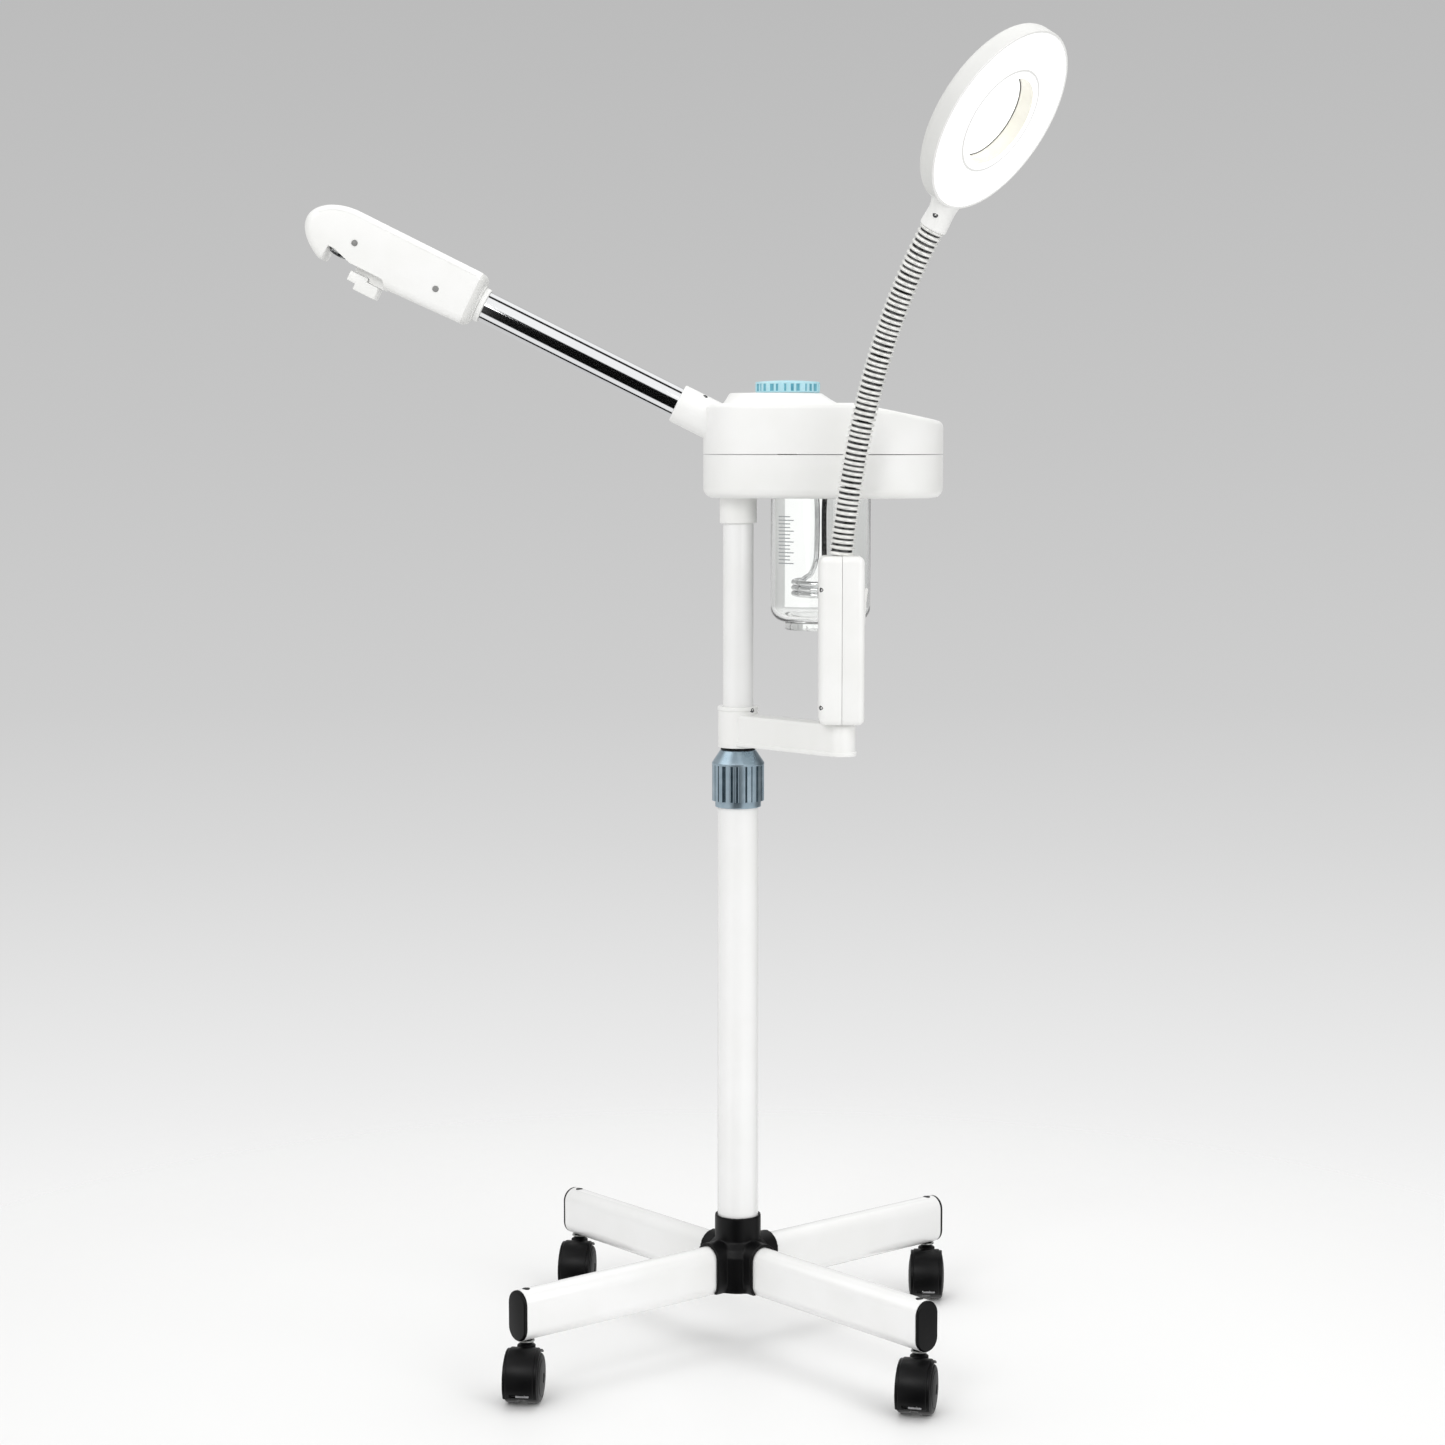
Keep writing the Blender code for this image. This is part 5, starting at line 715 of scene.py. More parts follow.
def neckSpot(along, steps=160):
    spot = Vector((boxSpot.x, boxSpot.y, neck["start"]))
    for step in range(steps):
        spot = spot + neckWay(along * (step + 0.5) / steps) * along / steps
    return spot


def neckFrame(along):
    way = neckWay(along)
    sideways = upward.cross(forward)
    return frameOf(sideways.cross(way), sideways, way, neckSpot(along))


def inSeam(spot, normal):
    near = min(neck["length"], max(0.0, (spot - neckSpot(0)).length))
    away = min((neckFrame(near + nudge).inverted() @ spot).xy.length for nudge in (-1, 0, 1, 2, 3, 4))
    return away < neck["seam"] + 0.45


partLength = neck["length"] / neck["parts"]
lastPart, lastRib = neck["parts"] - 1, neck["ribs"] - 1
for part, body in enumerate(neck["bodies"]):
    start = partLength * part + (neck["gap"] if part else -neck["rootLap"])
    end = partLength * (part + 1) - (neck["gap"] if part < lastPart else -neck["topLap"])
    ribWidth = (end - start - neck["groove"] * lastRib) / neck["ribs"]
    rings = [(start, neck["bore"]), (start, neck["seam"])]
    for rib in range(neck["ribs"]):
        ribStart = start + (ribWidth + neck["groove"]) * rib
        if 0 < rib < lastRib:  # wound strip is never quite even
            ribStart += neck["uneven"] * math.sin(neck["beat"] * (part * neck["ribs"] + rib))
        for share, rise in neck["rib"]:
            rings.append((ribStart + ribWidth * share, neck["seam"] + (neck["crown"] - neck["seam"]) * rise))
    rings += [(end, neck["core"])] + ([(end + neck["coreEnd"], neck["core"])] if part < lastPart else [])
    coils = lofted([
        [neckFrame(along) @ Vector((radius * x, radius * y, 0)) for x, y in arcOf((0, 0), 1, 0, 360, 40)[:-1]]
        for along, radius in rings
    ])
    # faces inside the seams take the painted shade
    twoToned(coils, inSeam)
    toPiece(coils, f"gooseneck{part + 1}", body, [neckStrip, neckSeamShade], [f"gooseneck_{part + 1}"], 50)
print("gooseneck made")


# Magnifier lamp

lamp = {
    "reach": 108, "radius": 84, "half": 9, "inner": 46.1, "tray": 48.2, "trayEnd": 81.7, "floor": -6.8,
    "neckRadius": 12.3, "flare": 31, "thin": 7.9, "root": 76, "stubBore": 7.3, "wallFrom": 80,
    "wallEnd": -78, "wallLow": -8, "wallHigh": 8.4,
}
lampUp = neckWay(neck["length"])
lampLean = math.radians(neck["lean"][1])
facing = forward * math.cos(lampLean) - upward * math.sin(lampLean)
lampPlace = frameOf(lampUp.cross(facing), lampUp, facing, neckSpot(neck["length"]) + lampUp * lamp["reach"])
shade = spun(filleted([
    (lamp["inner"], lamp["half"]), (lamp["tray"], lamp["half"]), (lamp["tray"], 6),
    (lamp["tray"], lamp["floor"]), (79, lamp["floor"]), (lamp["trayEnd"], -3),
    (lamp["trayEnd"], lamp["half"]), (lamp["radius"], lamp["half"]), (lamp["radius"], -lamp["half"]),
    (lamp["inner"], -lamp["half"]),
], (0.4, 0, 0, 1, 1, 0.5, 0.9, 6.5), 6), 128, closed=True)
stemStart, stemRings = lamp["reach"] - 0.3, []
for step in range(15):
    share = step / 14
    wide = lamp["neckRadius"] + (lamp["flare"] - lamp["neckRadius"]) * share ** 2.4
    thick = lamp["neckRadius"] + (lamp["thin"] - lamp["neckRadius"]) * (3 * share ** 2 - 2 * share ** 3)
    level = -stemStart + (stemStart - lamp["root"]) * share
    stemRings.append([(wide * x, level, thick * y) for x, y in arcOf((0, 0), 1, 0, 360, 56)[:-1]])
stem = solved(lofted(stemRings), rod(lamp["radius"] - 1.1, -30, 30, 128))
softened(stem, 1.0, 3, 60, lambda spot: spot.y < -lamp["reach"] + 0.5)
shade = solved(shade, stem, "UNION")
stubPlace = Matrix.Translation((0, -lamp["reach"], 0)) @ Matrix.Rotation(-math.pi / 2, 4, "X")
shade = solved(shade, placed(rod(lamp["stubBore"], -1, 12.3, 32), stubPlace))
# the outer wall of the ring, clear of its stem and front edge, takes the greyer material as painted shade
twoToned(shade, lambda spot, normal: (
    spot.xy.length > lamp["wallFrom"] and spot.y > lamp["wallEnd"]
    and lamp["wallLow"] < spot.z < lamp["wallHigh"]
))
toPiece(placed(shade, lampPlace), "lampRing", "lamp", [whiteAbs, wallShadeAbs], ["lamp_head"])

glowProfile = [(48.3, 6.4), (81.6, 6.4), (81.6, 8.6), (65, 9.0), (48.3, 8.6)]
glow = spun(filleted(glowProfile, (0, 0.5, 30), 4), 128, closed=True)
toPiece(placed(glow, lampPlace), "lampDiffuser", "lamp", [opalAcrylic], ["lamp_diffuser"])
lensSeat = spun(filleted([
    (39.8, 9), (46.05, 9), (46.05, -9), (41.1, -9), (41.1, -7.5), (43.5, -7.5), (43.5, -5.7), (39.8, -5.7),
], (0.5, 0.3, 0.6, 0.2, 0.2, 0.2), 3), 128, closed=True)
# the seat's front face takes the lit diffuser material, a painted glow that hides the shading on its edge
twoToned(lensSeat, lambda spot, normal: spot.z > 8.3)
toPiece(placed(lensSeat, lampPlace), "lensSeat", "lamp", [seatCream, opalAcrylic], ["lens_ring"])
lens = {"radius": 43.2, "backRadius": 40.8, "front": -6.2, "back": -7.2, "frontCrown": 2.2, "backCrown": 1.5}
shares = [step / 14 for step in range(15)]
lensFront = [(lens["radius"] * s, lens["front"] + lens["frontCrown"] * (1 - s * s)) for s in shares]
lensBack = [(lens["backRadius"] * s, lens["back"] - lens["backCrown"] * (1 - s * s)) for s in shares[::-1]]
lensShape = spun(lensFront + [(lens["radius"], lens["back"])] + lensBack, 128)
toPiece(placed(lensShape, lampPlace), "magnifierLens", "lamp", [glowingLensGlass], ["magnifier_lens"])
bead = spun(arcOf((39.5, -5.2), 0.4, 0, 360, 10)[:-1], 128, closed=True)
toPiece(placed(bead, lampPlace), "lensBead", "lamp", [wheelPolyurethane])
print("lamp made")


# Steam head housing, in two halves

housing = {
    "large": (115, 72), "small": (13, 45), "low": 792.5, "parting": 831.7, "upperLow": 832.5, "deck": 878,
    "slopeAt": 102, "slope": math.radians(11), "wall": 2.5, "top": 887.5, "deckRound": 5, "footRound": 9,
    "fillAt": 45, "fillBore": 22.5, "postSocket": 17, "socketLow": 769.2, "socketTop": 827.8,
}
platform = {
    "middle": 40, "shift": 6, "length": 112, "shorten": 28, "width": 90, "narrow": 20, "sunk": 12,
    "lead": 1.5, "ease": 0.75, "round": 1.4,
}
button = {"x": 140, "y": (("power", -22), ("ozone", 22)), "radius": 8, "flange": 10, "bore": 8.3}
arm = {
    "rise": math.radians(26.5), "height": 851, "sleeve": 18, "sleeveEnd": 62, "bore": 14.5, "tube": 14.2,
    "wall": 1.2, "tubeStart": 12, "tubeEnd": 289.5, "nozzle": 257.5,
}
armOut = Vector((-math.cos(arm["rise"]), 0, math.sin(arm["rise"])))
armUp = Vector((math.sin(arm["rise"]), 0, math.cos(arm["rise"])))
armRoot = Vector((0, 0, arm["height"]))
armPlace = frameOf(-inward, armUp, armOut, armRoot)  # Z runs out along the arm


def housingOutline(inset=0.0):
    (farX, far), (nearX, near) = housing["large"], housing["small"]
    flank = math.degrees(math.asin((far - near) / (farX - nearX)))
    farEnd = arcOf((farX, 0), far - inset, -90 - flank, 90 + flank, 56)
    return farEnd + arcOf((nearX, 0), near - inset, 90 + flank, 270 - flank, 36)


def platformShape(inset=0.0):
    # an oval that rises out of the deck under the cap and draws in towards its top
    rings, top, foot = [], housing["top"], housing["deck"] - platform["sunk"]
    drawnFrom = housing["deck"] - platform["lead"]
    for step in range(11):
        rise = foot + (top - foot) * step / 10
        drawn = max(0.0, (rise - drawnFrom) / (top - drawnFrom)) ** platform["ease"]
        middle = platform["middle"] - platform["shift"] * drawn
        length = platform["length"] - platform["shorten"] * drawn - 2 * inset
        width = platform["width"] - platform["narrow"] * drawn - 2 * inset
        rings.append([
            (middle + length / 2 * x, width / 2 * y, rise - inset)
            for x, y in arcOf((0, 0), 1, 0, 360, 72)[:-1]
        ])
    return softened(lofted(rings), platform["round"], 4, 25, lambda spot: spot.z > top - inset - 0.05)


def slopePlace(origin):
    # Z square to the sloping deck
    lean = housing["slope"]
    return frameOf((math.cos(lean), 0, -math.sin(lean)), inward, (math.sin(lean), 0, math.cos(lean)), origin)


def upperShell(inset=0.0):
    shell = slab(housingOutline(inset), housing["upperLow"] - (1 if inset else 0), housing["deck"] - inset)
    crest = (housing["slopeAt"] - inset * math.sin(housing["slope"]), 0, housing["deck"] - inset)
    shell = solved(shell, placed(brick((0, -150, 0), (200, 150, 60)), slopePlace(crest)))
    softened(shell, housing["deckRound"] - inset, 6, 50, lambda spot: spot.z > housing["upperLow"] + 6)
    return solved(shell, platformShape(inset), "UNION")


def lowerShell(inset=0.0):
    shell = slab(housingOutline(inset), housing["low"] + inset, housing["parting"] + (1 if inset else 0))
    low = housing["low"] + inset + 0.1
    return softened(shell, housing["footRound"] - inset, 6, 50, lambda spot: spot.z < low)


upperHalf = solved(upperShell(), upperShell(housing["wall"]))
armMouth = [(0, 2), (arm["sleeve"], 2), (arm["sleeve"], arm["sleeveEnd"]), (0, arm["sleeveEnd"])]
upperHalf = solved(upperHalf, placed(spun(filleted(armMouth, (0, 1.2)), 72), armPlace), "UNION")
upperHalf = solved(upperHalf, placed(rod(arm["bore"], -18, arm["sleeveEnd"] + 1, 56), armPlace))
upperHalf = solved(upperHalf, placed(rod(housing["fillBore"], 831, 889, 64), shifted(housing["fillAt"])))
buttonLevel = housing["deck"] - (button["x"] - housing["slopeAt"]) * math.tan(housing["slope"])
buttonPlaces = {name: slopePlace((button["x"], y, buttonLevel)) for name, y in button["y"]}
for place in buttonPlaces.values():
    upperHalf = solved(upperHalf, placed(rod(button["bore"], -18, 1, 48), place))
toPiece(upperHalf, "housingUpper", "head", [whiteAbs], ["housing_upper"])

jar = {
    "x": 75.5, "radius": 45.7, "wall": 3, "low": 679.4, "top": 804.5, "corner": 13, "floor": 4, "foot": 32.5,
    "footWall": 6, "footLow": 672, "grooves": 10, "grooveAt": 30.4, "grooveDeep": 0.7, "grooveHalf": 0.6,
    "grooveHigh": 5, "collarBore": 49.1,
}
jarPlace = shifted(jar["x"])
lowerHalf = solved(lowerShell(), lowerShell(housing["wall"]))
socketRadius, socketLow, socketTop = housing["postSocket"], housing["socketLow"], housing["socketTop"]
socketProfile = [(0, socketLow), (socketRadius, socketLow), (socketRadius, socketTop), (0, socketTop)]
lowerHalf = solved(lowerHalf, spun(filleted(socketProfile, (1.2, 0), 4), 64), "UNION")
lowerHalf = solved(lowerHalf, placed(rod(jar["collarBore"], 780, 840, 96), jarPlace))
lowerHalf = solved(lowerHalf, rod(upperBore, 760, posts["upperTop"] + posts["fit"], 64))
inletOpening = brick((100.7, 45, 804.7), (129.3, 80, 825.3))
lowerHalf = solved(lowerHalf, inletOpening)
toPiece(lowerHalf, "housingLower", "head", [whiteAbs], ["housing_lower"])
jarCollar = spun(filleted([
    (46.3, 800), (46.3, 807.4), (51.8, 807.4), (51.8, 795.3), (48.8, 795.3), (48.8, 792.5), (46.3, 792.5),
    (46.3, 799),
], (0.4, 0.4, 0.4, 0.3, 0.5, 0.5), 3), 128, closed=True)
toPiece(placed(jarCollar, jarPlace), "jarCollar", "head", [whiteAbs], ["jar_collar"])

buttonProfile = filleted([
    (0, -8), (button["flange"], -8), (button["flange"], -6.5), (button["radius"], -6.5),
    (button["radius"], 0.6), (0, 0.9),
], (0, 0, 0, 0.8), 5)
for name, place in buttonPlaces.items():
    toPiece(placed(spun(buttonProfile, 56), place), f"{name}Button", name, [whiteAbs], [f"{name}_button"])
print("housing made")


# Filler cap

cap = {
    "flutes": 28, "fine": 10, "narrow": 0.22, "vary": 0.08, "beat": 4.3, "waves": 22, "sway": 0.16,
    "radius": 29.5, "depth": 1.1, "low": 887.8, "rim": 897.1, "crown": 2.2, "spigot": 19.8,
    "spigotLow": 882.4,
}
capLow, capRim = cap["low"], cap["rim"]
ribs = slab(flutedOutline(cap), capLow + 1.2, capRim - 1.2)
crown = [(0, capLow)] + filleted([
    (20, capLow), (28.9, capLow), (29.3, capLow + 1.4), (28.2, capLow + 1.6), (28.2, capRim - 1.6),
    (cap["radius"], capRim - 1.3), (cap["radius"], capRim + 0.2), (27, capRim + 0.9),
], (0.4, 0.3, 0, 0, 0.2, 0.9), 5)
crown += [(26.4, capRim + 0.55), (25.6, capRim + 0.6)]
crown += [(25 * math.sqrt(1 - step / 8), capRim + 0.8 + (cap["crown"] - 0.8) * step / 8) for step in range(9)]
lid = solved(ribs, spun(crown, 96), "UNION")
lid = solved(lid, rod(cap["spigot"], cap["spigotLow"], capLow + 1, 64), "UNION")
# the groove sides take the deeper aqua as painted shade
twoToned(lid, lambda spot, normal: (
    capLow + 1.5 < spot.z < capRim - 1.3 and abs(normal.z) < 0.5 and spot.xy.length < cap["radius"] - 0.4
))
toPiece(placed(lid, shifted(housing["fillAt"])), "fillCap", "cap", [aquaCap, aquaShade], ["fill_cap"])
print("cap made")


# Jar, its graduation lines and the heater coil

inner, jarFloor = jar["radius"] - jar["wall"], jar["low"] + jar["floor"]
footInner = jar["foot"] - jar["footWall"]
jarProfile = filleted([
    (10, jarFloor), (inner, jarFloor), (inner, jar["top"]), (jar["radius"], jar["top"]),
    (jar["radius"], jar["low"]), (jar["foot"], jar["low"]), (jar["foot"], jar["footLow"]),
    (footInner, jar["footLow"]), (footInner, jar["low"]),
], (10, 1.2, 1.2, jar["corner"], 1.2, 1.6, 1.6), 10)
bowl = spun([(0, jarFloor)] + jarProfile + [(0, jar["low"])], 128)
grooveStart = (jar["foot"] - jar["grooveDeep"], -jar["grooveHalf"], jar["footLow"] - 1)
grooveEnd = (40, jar["grooveHalf"], jar["footLow"] + jar["grooveHigh"])
for step in range(jar["grooves"]):
    turn = math.radians(360 / jar["grooves"] * step + jar["grooveAt"])
    bowl = solved(bowl, placed(brick(grooveStart, grooveEnd), Matrix.Rotation(turn, 4, "Z")))
toPiece(placed(bowl, jarPlace), "jar", "jar_body", [jarGlass], ["jar"])

scale = {
    "count": 14, "top": 776, "step": 3.25, "long": 24, "short": 19, "start": -148, "half": 0.45,
    "lift": (45.72, 45.86),
}
marks = []
for step in range(scale["count"]):
    mark, level, (near, far) = bmesh.new(), scale["top"] - scale["step"] * step, scale["lift"]
    section = ((near, -scale["half"]), (far, -scale["half"]), (far, scale["half"]), (near, scale["half"]))
    corners = [mark.verts.new((radius, 0, level + rise)) for radius, rise in section]
    sides = [mark.edges.new(pair) for pair in zip(corners, corners[1:] + corners[:1])]
    length = math.radians(scale["long"] if step % 3 == 1 else scale["short"])
    bmesh.ops.spin(mark, geom=corners + sides, cent=(0, 0, 0), axis=(0, 0, 1), angle=length, steps=10)
    bmesh.ops.holes_fill(mark, edges=mark.edges)
    marks.append(placed(mark, Matrix.Rotation(math.radians(scale["start"]), 4, "Z")))
toPiece(placed(merged(*marks), jarPlace), "jarMarks", "jar_body", [printInk])

coil = {
    "tube": 2.4, "radius": 24.5, "turns": 2.5, "pitch": 5.1, "top": 716, "leg": 8.5, "riser": 3.5,
    "jogLow": 788, "jogHigh": 802, "legTop": 823, "bend": 14, "start": 130, "underShare": 0.6,
    "underTurn": 70, "lead": ((-5, 4, 15), (-8.5, 12, 6), (-13.5, 17.5, 2)),
}


def smoothPath(keys, steps=8):
    # an even curve through the keys
    path = []
    for before, first, second, after in zip(keys[:1] + keys, keys, keys[1:], keys[2:] + keys[-1:]):
        for step in range(steps):
            t = step / steps
            path.append(0.5 * (
                2 * first + (second - before) * t + (2 * before - 5 * first + 4 * second - after) * t ** 2
                + (3 * first - before - 3 * second + after) * t ** 3
            ))
    return path + [keys[-1]]


def aroundJar(radius, turn, level):
    return Vector((jar["x"] + radius * math.cos(turn), radius * math.sin(turn), level))


def onLeg(side, level, offset="riser"):
    return Vector((jar["x"] + side * coil[offset], 0, level))


coilTop, coilLow = coil["top"], coil["top"] - coil["pitch"] * coil["turns"]
helix = [
    aroundJar(coil["radius"], math.radians(coil["start"] + 15 * step), coilTop - coil["pitch"] * step / 24)
    for step in range(int(coil["turns"] * 24) + 1)
]
lead = [Vector((jar["x"], 0, coilTop)) + Vector(spot) for spot in coil["lead"]]
underTurn = math.radians(coil["start"] + 360 * coil["turns"] + coil["underTurn"])
keys = [
    onLeg(-1, coil["jogHigh"], "leg"), onLeg(-1, coil["jogLow"]), onLeg(-1, coilTop + 2 * coil["bend"]),
    *lead, *helix, aroundJar(coil["underShare"] * coil["radius"], underTurn, coilLow),
    onLeg(1, coilLow + coil["bend"]), onLeg(1, coilTop + coil["bend"]), onLeg(1, coil["jogLow"]),
    onLeg(1, coil["jogHigh"], "leg"),
]
path = [onLeg(-1, coil["legTop"], "leg")] + smoothPath(keys, 6) + [onLeg(1, coil["legTop"], "leg")]
curve = bpy.data.curves.new("coil", "CURVE")
curve.dimensions, curve.bevel_depth, curve.bevel_resolution, curve.use_fill_caps = "3D", coil["tube"], 6, True
spline = curve.splines.new("POLY")
spline.points.add(len(path) - 1)
for point, spot in zip(spline.points, path):
    point.co = (*spot, 1)
wire = bpy.data.objects.new("coil", curve)
scene.collection.objects.link(wire)
tubing = twoToned(evaluated(wire), lambda spot, normal: spot.x > jar["x"] and spot.z > coilTop + coil["bend"])
toPiece(tubing, "heaterCoil", "head", [heaterSteel, blackNylon], ["heater_coil"], 60)
print("jar made")


# Steam arm and nozzle

tube = pipe(arm["tube"], arm["wall"], arm["tubeStart"], arm["tubeEnd"], (0.3, 0.3), 3)
toPiece(placed(tube, armPlace), "steamTube", "head", [chrome], ["steam_tube"])

nozzle = {
    "collar": 16.4, "top": 26, "belly": -28, "tip": 177, "half": 25, "round": 7.4, "noseAt": 135,
    "shoulder": 8, "shoulderAt": 15, "shoulderTop": 18, "shoulderLow": -16,
    "lip": 152, "mouthAt": 124, "mouthEnd": 148, "roof": -14, "aromaAt": 88, "aromaRoof": -19.5,
    "spoutAt": 136, "spoutBore": 10.4, "lineAt": (5.0, 6.1), "lineDepth": 0.9,
    "plugs": ((127.4, -1.6), (44.4, -5.9)), "plugBore": 2.9, "gap": 0.15,
}
# side views are drawn with X out along the arm, Y square to it and Z to the back
armSide = frameOf(armOut, armUp, inward, armRoot + armOut * arm["nozzle"])
nozzleTurned = frameOf((0, 0, -1), (0, 1, 0), (1, 0, 0))


def noseSpot(degrees, inset=0.0):
    turn, length = math.radians(degrees), nozzle["tip"] - nozzle["noseAt"]
    return nozzle["noseAt"] + (length - inset) * math.sin(turn), (nozzle["top"] - inset) * math.cos(turn)


chinEnds = ((nozzle["tip"], 0), (nozzle["tip"], -12), (165, -22), (nozzle["lip"], nozzle["belly"]))
one, two, three, four = [Vector(spot) for spot in chinEnds]
chin = [
    one * (1 - t) ** 3 + two * 3 * t * (1 - t) ** 2 + three * 3 * t * t * (1 - t) + four * t ** 3
    for t in [step / 12 for step in range(13)]
]
shoulderAt, shoulder = nozzle["shoulderAt"], nozzle["shoulder"]
sideView = arcOf((shoulderAt, nozzle["shoulderTop"]), shoulder, 180, 90, 8)
sideView += [noseSpot(4.5 * step) for step in range(20)]
sideView += [(point.x, point.y) for point in chin] + [(nozzle["mouthAt"], nozzle["belly"])]
sideView += arcOf((shoulderAt, nozzle["shoulderLow"]), shoulder, -90, -180, 8)
nozzleShape = softened(slab(sideView, -nozzle["half"], nozzle["half"]), nozzle["round"], 7, 60)
ringRadius = nozzle["collar"]
collarRing = spun(filleted([
    (0, 0), (ringRadius - 0.4, 0), (ringRadius - 0.4, 4.6), (ringRadius - 1.2, 4.8), (ringRadius - 1.2, 5.4),
    (ringRadius + 0.6, 5.6), (ringRadius + 0.6, 30), (0, 30),
], (1.0, 0, 0, 0, 0, 0)), 72)
nozzleShape = solved(nozzleShape, placed(collarRing, nozzleTurned), "UNION")
nozzleShape = solved(nozzleShape, placed(rod(arm["bore"], -1, 32.3, 64), nozzleTurned))
notch = [(nozzle["aromaAt"], -60)] + arcOf((nozzle["aromaAt"] + 6, nozzle["aromaRoof"] - 6), 6, 180, 90, 8)
notch += [(nozzle["mouthAt"], nozzle["aromaRoof"]), (nozzle["mouthEnd"] - 6, nozzle["roof"])]
notch += [(nozzle["mouthEnd"], nozzle["roof"]), (nozzle["lip"] - 0.3, -60)]
nozzleShape = solved(nozzleShape, slab(notch, -60, 60))
backing = [(87, -18.5), (87, -27.9), (103.1, -27.9), (103.1, -24.5), (118, -24.5), (118, -18.5)]
nozzleShape = solved(nozzleShape, slab(backing, -13, 13), "UNION")
mouthPocket = brick((117, -16, -22.5), (149, -11.4, 22.5))
nozzleShape = solved(nozzleShape, mouthPocket)
spoutPlace = frameOf((0, 0, 1), (1, 0, 0), (0, 1, 0), (nozzle["spoutAt"], 0, 0))
nozzleShape = solved(nozzleShape, placed(rod(nozzle["spoutBore"], -20, 3, 40), spoutPlace))
outerLine, innerLine = nozzle["lineAt"]
line = [(16, nozzle["top"] - outerLine)] + [noseSpot(5 * step, outerLine) for step in range(14)]
line += [noseSpot(5 * step, innerLine) for step in range(13, -1, -1)] + [(16, nozzle["top"] - innerLine)]
nozzleShape = solved(nozzleShape, slab(line, -nozzle["half"] - 1, nozzle["lineDepth"] - nozzle["half"]))
for x, y in nozzle["plugs"]:
    plugHole = rod(nozzle["plugBore"], -27, -24.2, 32)
    nozzleShape = solved(nozzleShape, placed(plugHole, Matrix.Translation((x, y, 0))))
nozzleMesh = meshOf(nozzleShape, "nozzle")
for sign, name in ((-1, "front"), (1, "back")):
    nozzleHalf = halfOf(nozzleMesh, upward * sign, nozzle["gap"])
    # the end face beside the arm takes the greyer wall material as painted shade
    twoToned(nozzleHalf, lambda spot, normal: spot.x < shoulderAt and normal.x < -0.3)
    placed(nozzleHalf, armSide)
    toPiece(nozzleHalf, f"nozzle{name.title()}", "nozzle", [whiteAbs, wallShadeAbs], [f"nozzle_{name}"], 26)
bpy.data.meshes.remove(nozzleMesh)
plugRadius = nozzle["plugBore"] - 0.2
for number, (x, y) in enumerate(nozzle["plugs"], 1):
    plug = spun(filleted([(0, 24.2), (plugRadius, 24.2), (plugRadius, 25.8), (0, 25.7)], (0, 0.5), 4), 32)
    flip = Matrix.Translation((x, y, 0)) @ Matrix.Rotation(math.pi, 4, "X")
    toPiece(placed(plug, armSide @ flip), f"nozzlePlug{number}", "nozzle", [plugGrey])

holder = [
    (91.5, -39.5), (91.5, -28.3), (103.5, -28.3), (103.5, -24.9), (121, -24.9), (121, -34), (112.5, -34),
    (112.5, -39.5),
]
tray = softened(slab(holder, -17, 17), 0.9, 3, 40)
trayPocket = brick((105, -32, -15), (119.5, -19, 15))
tray = solved(tray, trayPocket)
toPiece(placed(tray, armSide), "aromaHolder", "aroma", [whiteAbs], ["aroma_holder"])

# bright ring and dark throat of the steam mouth, tipped a little to the front; the black plug in the throat
# is painted shade for the depth of the hole
outlet = {"x": 139.5, "y": -15.2, "radius": 9.4, "wall": 0.9, "deep": 5, "tip": 13}
tip = Matrix.Rotation(math.radians(90 + outlet["tip"]), 4, "X")
outletPlace = armSide @ Matrix.Translation((outlet["x"], outlet["y"], 0)) @ tip
edge, bore, deep = outlet["radius"], outlet["radius"] - outlet["wall"], outlet["deep"]
ringProfile = [(bore, 2), (bore, -deep), (edge, -deep), (edge, 0.6), (bore, 0.6), (bore, 1)]
mouthRing = spun(filleted(ringProfile, (0, 0, 0.3, 0.3), 3), 56)
toPiece(placed(mouthRing, outletPlace), "mouthRing", "nozzle", [chrome])
toPiece(placed(rod(bore - 0.05, -deep, -1.6, 48), outletPlace), "mouthThroat", "nozzle", [blackNylon])
print("nozzle made")


# Screws seen from the front

screws = {
    "sleeveScrew": ("head", armRoot + armOut * 42 + armUp * 16.6 - inward * 7, (0.25, -0.5, 0.8)),
    "bracketScrew": ("bracket_arm", Vector((13, -13.4, 598.6)), (0.7, -0.7, 0)),
    "boxScrewHigh": ("box", boxSpot + Vector((-18.1, -21.1, 714)), (-0.6, -0.8, 0)),
    "boxScrewLow": ("box", boxSpot + Vector((-18.1, -21.1, 610)), (-0.6, -0.8, 0)),
    "neckScrew": (
        "lamp", lampPlace @ Vector((-13.9, -94, 3.8)), lampPlace.to_3x3() @ Vector((-0.88, 0, 0.47)),
    ),
}
for name, (body, spot, way) in screws.items():
    toward = Vector(way).normalized()
    sideways = toward.orthogonal().normalized()
    head = placed(screwHead(2.4), frameOf(sideways, toward.cross(sideways), toward, spot))
    toPiece(head, name, body, [screwSteel])

# pieces that keep their CAD shape
kept = {
    "hub_bolt": zincSteel, "box_pivot": zincSteel, "heater_flange": zincSteel, "post_glide": blackNylon,
    "power_inlet": blackNylon, "fill_funnel": whiteAbs, "nozzle_spout": whiteAbs, "cap_gasket": silicone,
    "jar_seal": silicone, "control_board": boardGreen, "led_board": boardGreen,
}
for node, look in kept.items():
    mesh = bpy.data.objects[node].data
    mesh.materials.clear()
    mesh.materials.append(look)
print("pieces made")


# Floor, light and camera

